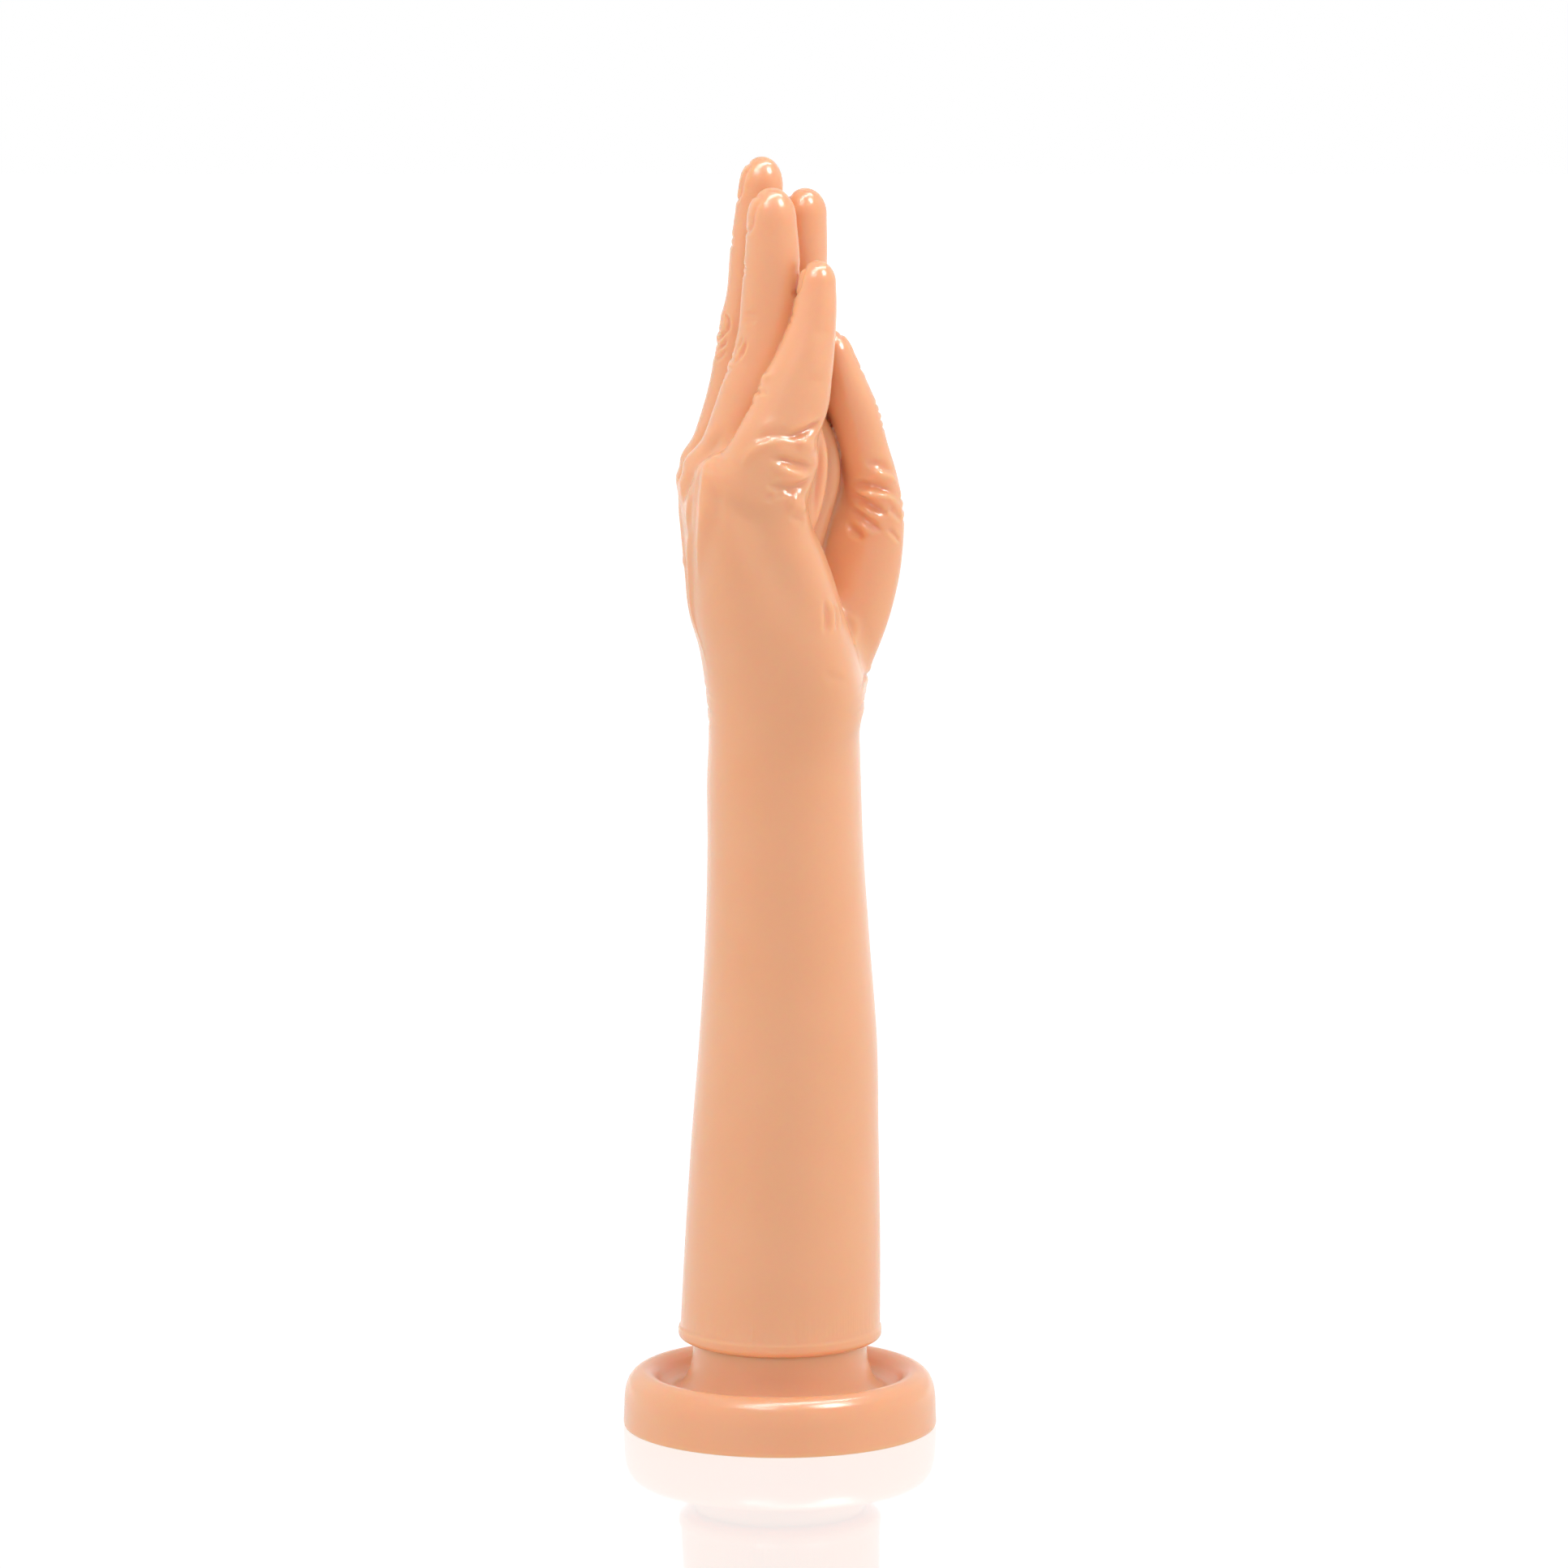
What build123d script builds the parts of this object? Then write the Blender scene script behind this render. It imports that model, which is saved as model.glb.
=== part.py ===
"""A life-size right hand and forearm in soft PVC, standing on a round suction base.

The fingers are straight and gathered to a beak with the thumb laid against them. The forearm ends in a
flat foot with a thin lip. A hard taper plug, held by its flange inside the base, goes up into a socket in
that foot: the arm turns with the plug, and pulls straight up off it.

Millimetres. +Z is up, the origin is the centre of the base's resting face, +X is the way the palm looks,
and +Y is the thumb's side of the hand.
"""

import os

from build123d import *

# ---- driving dimensions -------------------------------------------------------------------------
total_height = 405.0  # floor to the tip of the middle finger
base_radius = 50.0
rim_height = 18.2  # top of the base's rolled rim
foot_bottom = 27.8  # flat underside of the forearm's foot

# suction base
draft = 0.6  # the outer wall leans in by this much at the rim
seal_width = 5.0  # flat land that seals on the floor
cup_depth = 3.6  # hollow under the base, at its centre
rim_inner_radius = 41.8  # where the rim's top ends
dish_radius = 38.2  # outer edge of the dish's floor
dish_height = 11.8
neck_root_radius = 31.2
neck_radius = 28.6
bottom_edge = 0.8  # edge radii, going up and in round the base's skin
shoulder_edge = 5.4
rim_edge = 3.2
dish_edge = 2.4
neck_root_edge = 5.0
neck_top_edge = 0.8

# foot of the forearm
rest_gap = 0.1  # between the foot and what it rests on
foot_flat_radius = 29.8
lip_radius = 32.4
lip_bottom = 29.3  # the underside slopes out from the flat to here
lip_top = 32.4
lip_step = 0.4  # how far the lip stands out of the forearm

# taper plug
running_gap = 0.05  # round the plug's shank and flange, so that it can turn
flange_radius = 23.0
flange_bottom = 10.0
flange_thickness = 4.0
shank_radius = 15.5
stem_radius = 14.6  # at the foot
stem_tip_radius = 12.6
stem_length = 58.0
stem_tip_edge = 3.0
groove_count = 5
groove_radius = 1.2
socket_gap = 0.15  # round the stem
socket_end_gap = 2.0  # over the stem's tip

# ---- hand and forearm ---------------------------------------------------------------------------
# One ellipse per height: (z, centre x, centre y, half depth along x, half width along y).
forearm_sections = [
    (lip_top, 0.0, 0.0, lip_radius - lip_step, lip_radius - lip_step),
    (62.0, 0.9, 0.0, 31.1, 31.6),
    (94.0, 1.7, 0.0, 29.8, 31.0),
    (125.0, 2.5, 0.0, 28.3, 30.0),
    (157.0, 2.3, 0.0, 26.2, 28.8),
    (188.0, 1.7, 0.0, 24.7, 28.0),
    (227.0, 1.2, 0.0, 23.9, 27.6),
    (245.0, 0.0, 0.5, 24.6, 29.0),
    (266.0, -5.5, 1.0, 23.0, 33.0),
    (288.0, -10.5, 1.0, 20.0, 35.5),
    (306.0, -15.5, 1.0, 16.0, 35.0),
    (315.0, -14.5, 1.0, 11.0, 30.0),
]

# Each digit is a run of ellipses square to its own line, from inside the palm to the fingertip:
# (x, y, z, half thickness back to front, half width side to side).
little_finger = [
    (-11.0, -22.0, 298.0, 11.5, 9.5),
    (-6.5, -24.0, 313.0, 12.0, 9.4),
    (1.0, -22.5, 327.0, 11.8, 9.0),
    (5.5, -20.5, 337.0, 10.6, 8.7),
    (8.6, -18.0, 348.0, 8.4, 8.0),
    (10.6, -16.2, 359.0, 6.9, 7.2),
    (11.6, -15.0, 368.0, 5.6, 6.2),
    (11.7, -14.6, 372.0, 3.6, 4.0),
    (11.6, -14.5, 373.9, 1.4, 1.6),
]
ring_finger = [
    (-19.5, -8.5, 296.0, 11.5, 9.5),
    (-16.0, -8.5, 313.0, 10.4, 9.3),
    (-9.5, -8.0, 331.0, 9.3, 8.6),
    (-5.0, -8.0, 348.0, 8.9, 8.5),
    (-3.2, -7.8, 364.0, 8.6, 8.0),
    (-2.5, -7.6, 377.0, 8.3, 8.0),
    (-2.5, -7.5, 387.0, 7.4, 7.5),
    (-2.7, -7.5, 393.0, 5.0, 5.2),
    (-2.8, -7.5, 396.0, 1.6, 1.6),
]
middle_finger = [
    (-20.5, 9.5, 296.0, 11.8, 9.8),
    (-18.0, 9.5, 314.0, 10.6, 9.5),
    (-14.0, 9.3, 331.0, 9.0, 8.8),
    (-11.0, 9.0, 348.0, 8.8, 8.7),
    (-8.6, 8.7, 367.0, 8.0, 8.2),
    (-7.4, 8.5, 384.0, 7.4, 7.8),
    (-6.4, 8.5, 396.0, 6.2, 6.8),
    (-6.0, 8.5, 401.5, 4.4, 5.0),
    (-5.8, 8.5, total_height - 0.1, 1.6, 1.8),
]
index_finger = [
    (-13.0, 25.5, 296.0, 11.5, 9.8),
    (-9.0, 25.5, 314.0, 10.6, 9.6),
    (-3.0, 22.8, 331.0, 9.4, 8.9),
    (2.0, 19.5, 347.0, 8.9, 8.7),
    (5.8, 16.5, 363.0, 8.3, 8.1),
    (7.2, 14.6, 377.0, 7.5, 7.7),
    (7.8, 14.0, 387.0, 6.6, 6.9),
    (8.1, 13.8, 391.6, 4.6, 4.9),
    (8.2, 13.7, 394.4, 1.6, 1.6),
]
thumb = [
    (7.5, 12.0, 236.0, 13.0, 13.5),
    (15.5, 14.0, 253.0, 14.6, 15.0),
    (21.5, 13.0, 272.0, 15.2, 14.5),
    (26.0, 10.5, 290.0, 12.6, 12.5),
    (26.0, 8.5, 304.0, 10.6, 11.2),
    (23.4, 6.6, 318.0, 9.2, 10.2),
    (20.0, 5.2, 331.0, 8.8, 10.2),
    (16.8, 4.2, 341.0, 7.6, 9.2),
    (14.9, 3.6, 347.0, 5.0, 6.2),
    (14.0, 3.3, 350.4, 1.8, 2.2),
]
# The heel of the hand on the little finger's side, and the pads at the finger roots.
heel = [
    (6.0, -9.0, 240.0, 13.5, 13.0),
    (5.0, -12.5, 256.0, 15.5, 14.5),
    (0.0, -16.5, 275.0, 16.5, 14.5),
    (-4.0, -19.0, 293.0, 14.0, 13.0),
    (-4.0, -20.0, 308.0, 12.0, 11.0),
]
root_pads = [
    (2.0, 2.0, 282.0, 11.0, 11.0),
    (6.0, 1.5, 295.0, 11.5, 12.0),
    (7.5, 1.0, 309.0, 11.5, 12.0),
    (4.5, 0.5, 323.0, 8.0, 10.0),
]
# The web of skin between the thumb and the index finger.
web = [
    (2.0, 19.0, 254.0, 13.0, 13.0),
    (8.0, 20.5, 270.0, 13.0, 12.0),
    (11.0, 19.5, 286.0, 12.0, 10.5),
    (10.5, 18.5, 301.0, 10.0, 9.0),
    (8.5, 17.5, 315.0, 7.5, 7.5),
]


def run_planes(stations):
    """Planes square to the line through the stations, their x turned to the hand's +X side."""
    centres = [Vector(*station[:3]) for station in stations]
    planes = []
    for number, centre in enumerate(centres):
        before = centres[max(number - 1, 0)]
        after = centres[min(number + 1, len(centres) - 1)]
        along = (after - before).normalized()
        side = along.cross(Vector(1, 0, 0)).normalized()
        planes.append(Plane(origin=centre, x_dir=side.cross(along), z_dir=along))
    return planes


# ---- arm and hand -------------------------------------------------------------------------------
with BuildPart() as arm_and_hand:
    for height, centre_x, centre_y, half_depth, half_width in forearm_sections:
        with BuildSketch(Plane.XY.offset(height)):
            with Locations((centre_x, centre_y)):
                Ellipse(half_depth, half_width)
    loft()
    for run in (heel, root_pads, web, thumb, index_finger, middle_finger, ring_finger, little_finger):
        for plane, (_, _, _, half_thickness, half_width) in zip(run_planes(run), run):
            with BuildSketch(plane):
                Ellipse(half_thickness, half_width)
        loft()
    # The foot: a flat, a sloping underside and a thin lip.
    with BuildSketch(Plane.XZ):
        with BuildLine():
            Polyline(
                (0, foot_bottom),
                (foot_flat_radius, foot_bottom),
                (lip_radius, lip_bottom),
                (lip_radius, lip_top),
                (0, lip_top),
                close=True,
            )
        make_face()
    revolve(axis=Axis.Z)
    # Blind socket that the plug's stem goes into.
    socket_depth = stem_length + socket_end_gap
    stem_taper = (stem_radius - stem_tip_radius) / stem_length
    with BuildSketch(Plane.XY.offset(foot_bottom)):
        Circle(stem_radius + socket_gap)
    with BuildSketch(Plane.XY.offset(foot_bottom + socket_depth)):
        Circle(stem_radius + socket_gap - stem_taper * socket_depth)
    loft(mode=Mode.SUBTRACT)

# ---- taper plug ---------------------------------------------------------------------------------
neck_top = foot_bottom - rest_gap
flange_top = flange_bottom + flange_thickness

with BuildPart() as taper_plug:
    with BuildSketch(Plane.XZ):
        with BuildLine():
            Polyline(
                (0, flange_bottom),
                (flange_radius, flange_bottom),
                (flange_radius, flange_top),
                (shank_radius, flange_top),
                (shank_radius, neck_top),
                (stem_radius, neck_top),
                (stem_radius, foot_bottom),
                (stem_tip_radius, foot_bottom + stem_length),
                (0, foot_bottom + stem_length),
                close=True,
            )
        make_face()
    revolve(axis=Axis.Z)
    # Grip grooves round the stem.
    groove_pitch = stem_length / (groove_count + 1)
    with BuildSketch(Plane.XZ):
        for number in range(1, groove_count + 1):
            up_the_stem = number * groove_pitch
            groove_centre = stem_radius - stem_taper * up_the_stem + groove_radius / 2
            with Locations((groove_centre, foot_bottom + up_the_stem)):
                Circle(groove_radius)
    revolve(axis=Axis.Z, mode=Mode.SUBTRACT)
    tip_circle = taper_plug.edges().filter_by(GeomType.CIRCLE).sort_by(Axis.Z)[-1]
    fillet(tip_circle, radius=stem_tip_edge)

# ---- suction base -------------------------------------------------------------------------------
with BuildPart() as suction_base:
    with BuildSketch(Plane.XZ):
        with BuildLine():
            seal_inner = base_radius - bottom_edge - seal_width
            pocket_radius = flange_radius + running_gap
            bore_radius = shank_radius + running_gap
            skin = FilletPolyline(
                (seal_inner, 0),
                (base_radius, 0),
                (base_radius - draft, rim_height),
                (rim_inner_radius, rim_height),
                (dish_radius, dish_height),
                (neck_root_radius, dish_height),
                (neck_radius, neck_top),
                (bore_radius, neck_top),
                radius=(bottom_edge, shoulder_edge, rim_edge, dish_edge, neck_root_edge, neck_top_edge),
            )
            # Bore for the shank, and the pocket that holds the flange.
            Polyline(
                skin @ 1,
                (bore_radius, flange_top + running_gap),
                (pocket_radius, flange_top + running_gap),
                (pocket_radius, flange_bottom - running_gap),
                (0, flange_bottom - running_gap),
                (0, cup_depth),
            )
            # The hollow underneath is part of a sphere.
            TangentArc((0, cup_depth), skin @ 0, tangent=(1, 0))
        make_face()
    revolve(axis=Axis.Z)

# ---- write every piece --------------------------------------------------------------------------
arm_and_hand.part.label = "arm_and_hand"
taper_plug.part.label = "taper_plug"
suction_base.part.label = "suction_base"

os.makedirs("parts", exist_ok=True)
export_step(arm_and_hand.part, "parts/arm_and_hand.step")
export_step(taper_plug.part, "parts/taper_plug.step")
export_step(suction_base.part, "parts/suction_base.step")
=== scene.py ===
"""Looks for a life-size vinyl hand and forearm that stands on a round suction base.

The flesh is one closed skin. It is worked out as a distance field, in millimetres, from a column of ovals
for the forearm and the palm, and fleshy runs for the digits, the pads of the palm, the folds inside it and
the web of the thumb. Creases, tendons, wrinkles and nails are then pressed into the skin along lines drawn
on it. The suction base is a turned profile, and the plug is the frame's own part with a better finish.
"""

import logging
from dataclasses import dataclass
from enum import Enum

import bpy
import numpy as np
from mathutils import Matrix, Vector


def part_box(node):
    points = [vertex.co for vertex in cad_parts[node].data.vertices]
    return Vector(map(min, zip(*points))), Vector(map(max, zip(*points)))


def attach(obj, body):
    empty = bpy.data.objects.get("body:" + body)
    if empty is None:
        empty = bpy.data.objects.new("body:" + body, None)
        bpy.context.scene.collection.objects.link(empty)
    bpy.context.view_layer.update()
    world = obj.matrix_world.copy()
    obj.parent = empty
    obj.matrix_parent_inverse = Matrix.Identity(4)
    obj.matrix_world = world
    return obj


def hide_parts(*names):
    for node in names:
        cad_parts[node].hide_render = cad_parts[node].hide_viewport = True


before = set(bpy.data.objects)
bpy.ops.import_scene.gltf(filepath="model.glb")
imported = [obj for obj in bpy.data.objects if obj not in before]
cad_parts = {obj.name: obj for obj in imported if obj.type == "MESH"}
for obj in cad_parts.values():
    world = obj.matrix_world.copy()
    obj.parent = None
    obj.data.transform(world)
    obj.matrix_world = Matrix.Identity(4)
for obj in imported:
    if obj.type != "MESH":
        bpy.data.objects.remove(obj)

MM = 0.001
TINY = 1e-9
MOST_TRIANGLES = 190_000

# Spacing of the skin's grid, in mm, and of the long cells of the forearm.
FINE_GRID = 0.75
LONG_GRID = 3.4
# What the field says, in mm, where a run is too far away to matter.
FAR_AWAY = 50.0
# A ray that draws on the skin starts this far outside its plane, and is walked this far in these steps.
RAY_START = 45.0
RAY_LENGTH = 90.0
RAY_STEP = 0.75
# A mark reaches this many widths out, fades over this share of its length at each end, is this much of its
# width there, and has its lips this many widths from its middle.
MARK_REACH = 4.0
MARK_FADE = 0.35
END_WIDTH = 0.6
LIPS_AT = 2.1
# A nail is looked for this far below a digit's last station, and this close to the digit's own skin.
NAIL_ROOM = 14.0
NAIL_CLOSE = 1.5

# The pairs of a line, and the rows of a table.
Pairs = tuple[tuple[float, float], ...]
Rows = tuple[tuple[float, ...], ...]

log = logging.getLogger("moulded_hand")


# ---- curves and blends --------------------------------------------------------------------------
def smooth_step(low: float, high: float, at: np.ndarray) -> np.ndarray:
    """Rises from 0 at low to 1 at high, level at both ends.

    Args:
        low: where the rise starts.
        high: where it ends.
        at: places to work it out.

    Returns:
        3t^2 - 2t^3, where t is the share of the way from low to high, held between 0 and 1.
    """
    share = np.clip((at - low) / (high - low), 0.0, 1.0)
    return share * share * (3.0 - 2.0 * share)


def smooth_curve(knots: np.ndarray, values: np.ndarray, at: np.ndarray) -> tuple[np.ndarray, np.ndarray]:
    """Carries a smooth line through values at uneven knots.

    Each span is the cubic whose ends have the values and whose slopes there are those of the parabola
    through the knot and its two neighbours.

    Args:
        knots: rising places, one for each row of values.
        values: one row for each knot.
        at: places to work it out, of any shape.

    Returns:
        The values and their slopes, each of at's shape with the row's columns added as a last axis.
    """
    knots = np.asarray(knots, float)
    values = np.asarray(values, float)
    slopes = np.gradient(values, knots, axis=0)
    inside = np.clip(at, knots[0], knots[-1])
    span = np.clip(np.searchsorted(knots, inside, side="right") - 1, 0, len(knots) - 2)
    width = (knots[span + 1] - knots[span])[..., None]
    share = (inside - knots[span])[..., None] / width
    start, end = values[span], values[span + 1]
    leave, arrive = slopes[span] * width, slopes[span + 1] * width
    square = share * share
    cube = square * share
    value = (
        (2 * cube - 3 * square + 1) * start
        + (cube - 2 * square + share) * leave
        + (3 * square - 2 * cube) * end
        + (cube - square) * arrive
    )
    slope = (
        (6 * square - 6 * share) * (start - end)
        + (3 * square - 4 * share + 1) * leave
        + (3 * square - 2 * share) * arrive
    ) / width
    return value, slope


def blend_min(first: np.ndarray, second: np.ndarray, width: float | np.ndarray) -> np.ndarray:
    """Joins two distance fields with a fillet.

    Args:
        first: distances to one solid.
        second: distances to the other.
        width: how far apart the two may be and still blend, in mm.

    Returns:
        The smaller distance, less a quarter of width times the square of how evenly the two match.
    """
    match = np.maximum(width - np.abs(first - second), 0.0) / width
    return np.minimum(first, second) - match * match * width / 4


def blend_max(first: np.ndarray, second: np.ndarray, width: float | np.ndarray) -> np.ndarray:
    """Keeps what is inside both solids, with the edge rounded as blend_min rounds a joint."""
    return -blend_min(-first, -second, width)


def unit(vectors: np.ndarray) -> np.ndarray:
    """Scales vectors along the last axis to length 1."""
    return vectors / np.maximum(np.linalg.norm(vectors, axis=-1, keepdims=True), 1e-12)


# ---- flesh --------------------------------------------------------------------------------------
@dataclass
class Column:
    """The forearm, wrist and back of the hand: a column of ovals, one above the other.

    Attributes:
        sections: rows of height, centre x, centre y, then the reach from the centre to the back (-x), to
            the palm (+x), to the little finger's side (-y) and to the thumb's side (+y), then squareness.
        bottom: where the column is cut off flat.
        crown: height of the dome that closes it over the last section.
    """

    sections: Rows
    bottom: float
    crown: float

    def distance(self, x: np.ndarray, y: np.ndarray, z: np.ndarray) -> np.ndarray:
        """Works out the distance to the column's skin, less than 0 inside.

        In each level the oval is |u|^p + |v|^p = 1, where u and v are the offsets from the centre over the
        reach on that side and p is the squareness. With k the scale of the oval through a point and r its
        distance from the centre, the distance to the skin along the ray is r (1 - 1/k).

        Args:
            x, y, z: places, of shapes that broadcast together, in mm.

        Returns:
            Distances in mm.
        """
        table = np.array(self.sections)
        rows, _ = smooth_curve(table[:, 0], table[:, 1:], z)
        centre_x, centre_y, back, palm, near, far, power = np.moveaxis(rows, -1, 0)
        along, across = x - centre_x, y - centre_y
        above = np.maximum(z - table[-1, 0], 0.0)
        u = np.abs(along) / np.where(along < 0, back, palm)
        v = np.abs(across) / np.where(across < 0, near, far)
        level = (u**power + v**power) ** (1 / power)
        scale = np.sqrt(level**2 + (above / self.crown) ** 2) + TINY
        reach = np.sqrt(along**2 + across**2 + above**2) + TINY
        return np.maximum(reach * (1 - 1 / scale), self.bottom - z)


@dataclass(eq=False)
class Run:
    """A fleshy run: an oval carried along a smooth centre line, with a rounded end.

    Attributes:
        stations: rows of x, y, z, then the reach from the centre line to the back, to the front and to
            either side.
        front: which way its front looks at the root and at the tip, for a digit the side of the pad.
        cap: length of the rounded end past the last station.
        squareness: 2 is an ellipse, and more is boxier.
        root_cap: length of the rounded end before the first station.
        samples: how many places on the centre line the first guess picks from.
    """

    stations: Rows
    front: tuple[tuple[float, float, float], tuple[float, float, float]] = ((1, 0, 0), (1, 0, 0))
    cap: float = 8.0
    squareness: float = 2.2
    root_cap: float = 6.0
    samples: int = 26

    def __post_init__(self) -> None:
        """Measures the centre line, and samples it for a first guess at the nearest place."""
        self.table = np.array(self.stations, float)
        steps = np.linalg.norm(np.diff(self.table[:, :3], axis=0), axis=1)
        self.knots = np.concatenate([[0.0], np.cumsum(steps)])
        self.length = self.knots[-1]
        self.guide_at = np.linspace(0, self.length, self.samples)
        self.guide = smooth_curve(self.knots, self.table[:, :3], self.guide_at)[0]
        self.stoutest = self.table[:, 3:].max()

    def axes(self, place: np.ndarray) -> tuple[np.ndarray, ...]:
        """Works out the centre line and the directions of the oval at places along it.

        Args:
            place: lengths along the centre line from the root, in mm.

        Returns:
            Centre, direction onward, direction of the front, direction of the side, and the three reaches.
        """
        rows, slopes = smooth_curve(self.knots, self.table, place)
        onward = unit(slopes[..., :3])
        root, tip = (np.array(v, float) for v in self.front)
        share = (place / self.length)[..., None]
        facing = root * (1 - share) + tip * share
        facing = unit(facing - (facing * onward).sum(-1, keepdims=True) * onward)
        return rows[..., :3], onward, facing, np.cross(onward, facing), rows[..., 3:]

    def nearest(self, points: np.ndarray, refine: bool) -> np.ndarray:
        """Finds the place along the centre line that is level with each point.

        Args:
            points: rows of x, y, z in mm.
            refine: whether to slide from the nearest chord onto the smooth line itself.

        Returns:
            Lengths along the centre line.
        """
        best = np.full(len(points), np.inf)
        place = np.zeros(len(points))
        chords = zip(self.guide[:-1], self.guide[1:], self.guide_at[:-1], self.guide_at[1:])
        for start, end, low, high in chords:
            chord = end - start
            share = np.clip((points - start) @ chord / (chord @ chord), 0, 1)
            gap = points - start - share[:, None] * chord
            apart = (gap * gap).sum(-1)
            closer = apart < best
            best = np.where(closer, apart, best)
            place = np.where(closer, low + share * (high - low), place)
        for _ in range(2 if refine else 0):
            centre, slope = smooth_curve(self.knots, self.table[:, :3], place)
            slide = ((points - centre) * slope).sum(-1) / (slope * slope).sum(-1)
            place = np.clip(place + slide, 0, self.length)
        return place

    def local(self, points: np.ndarray, refine: bool = True) -> tuple[np.ndarray, ...]:
        """Turns points into the run's own coordinates.

        Args:
            points: rows of x, y, z in mm.
            refine: see nearest.

        Returns:
            Place along the line, offset to the front, offset to the side, offset past the end, reaches.
        """
        place = self.nearest(points, refine)
        centre, onward, facing, side, reaches = self.axes(place)
        offset = points - centre
        return (
            place,
            (offset * facing).sum(-1),
            (offset * side).sum(-1),
            (offset * onward).sum(-1),
            reaches,
        )

    def distance(self, points: np.ndarray, refine: bool = True) -> np.ndarray:
        """Works out the distance to the run's skin by the same rule as Column.distance.

        Args:
            points: rows of x, y, z in mm.
            refine: see nearest.

        Returns:
            Distances in mm, less than 0 inside.
        """
        place, forward, sideways, past, reaches = self.local(points, refine)
        thick = np.where(forward < 0, reaches[:, 0], reaches[:, 1])
        u = np.abs(forward) / thick
        v = np.abs(sideways) / reaches[:, 2]
        level = (u**self.squareness + v**self.squareness) ** (1 / self.squareness)
        end = np.where(place > self.length / 2, self.cap, self.root_cap)
        beyond = np.where((place <= TINY) | (place >= self.length - TINY), past / end, 0.0)
        scale = np.sqrt(level**2 + beyond**2) + TINY
        reach = np.sqrt(forward**2 + sideways**2 + np.where(beyond != 0, past, 0.0) ** 2) + TINY
        return reach * (1 - 1 / scale)

    def box(self, margin: float) -> tuple[np.ndarray, np.ndarray]:
        """Gives the corners of a box that holds the run with a margin round it."""
        pad = self.stoutest + max(self.cap, self.root_cap) * 0.5 + margin
        return self.table[:, :3].min(0) - pad, self.table[:, :3].max(0) + pad


class Side(Enum):
    """Which side of the hand a line is drawn from: where the eye stands, and the plane that it draws on.

    The pairs of a line are (x, z) on a plane at y, or (y, z) on a plane at x.
    """

    LITTLE_FINGER = ((0.0, -2500.0, 566.0), 1, -20.0)
    THUMB = ((0.0, 2500.0, 330.0), 1, 20.0)
    BACK = ((-2500.0, 0.0, 330.0), 0, -20.0)
    PALM = ((2500.0, 0.0, 330.0), 0, 20.0)

    def rays(self, pairs: np.ndarray) -> tuple[np.ndarray, np.ndarray]:
        """Turns a line's pairs into rays.

        Args:
            pairs: rows of two coordinates on the side's plane, in mm.

        Returns:
            A place on each ray outside the hand, and the direction of each ray.
        """
        eye, axis, plane = self.value
        spots = np.insert(pairs, axis, plane, axis=1)
        sight = unit(spots - np.array(eye))
        return spots - RAY_START * sight, sight


@dataclass(frozen=True)
class Mark:
    """A groove or a ridge drawn on the skin.

    Attributes:
        side: the side that it is drawn from.
        points: the line's pairs, see Side.
        depth: how deep it is at its middle; less than 0 is a ridge.
        width: how far from its middle it has faded to a third.
        lips: how much the skin beside it rises, as a share of the depth.
    """

    side: Side
    points: Pairs
    depth: float
    width: float
    lips: float

    def line(self, spacing: float = 0.8, fewest: int = 5) -> np.ndarray:
        """Runs a smooth line through the pairs.

        Args:
            spacing: how far apart its places are, in mm.
            fewest: how many places it has at least.

        Returns:
            Rows of two coordinates on the side's plane.
        """
        pairs = np.array(self.points, float)
        knots = np.concatenate([[0.0], np.cumsum(np.linalg.norm(np.diff(pairs, axis=0), axis=1))])
        count = max(int(knots[-1] / spacing) + 1, fewest)
        return smooth_curve(knots, pairs, np.linspace(0, knots[-1], count))[0]


def drawn(side: Side, rows: tuple | list, lips: float = 0.25) -> list[Mark]:
    """Makes marks from rows of a table.

    Args:
        side: the side that they are drawn from.
        rows: depth, width and then the pairs of each.
        lips: the lips of its grooves; a ridge has none.

    Returns:
        The marks, in the order of the rows.
    """
    return [Mark(side, tuple(pairs), depth, width, lips * (depth > 0)) for depth, width, *pairs in rows]


def arc(middle: float, half: float, low: float, high: float) -> Pairs:
    """Gives the pairs of a line that bows up from its ends at low to its middle at high."""
    return (middle - half, low), (middle, high), (middle + half, low)


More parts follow.
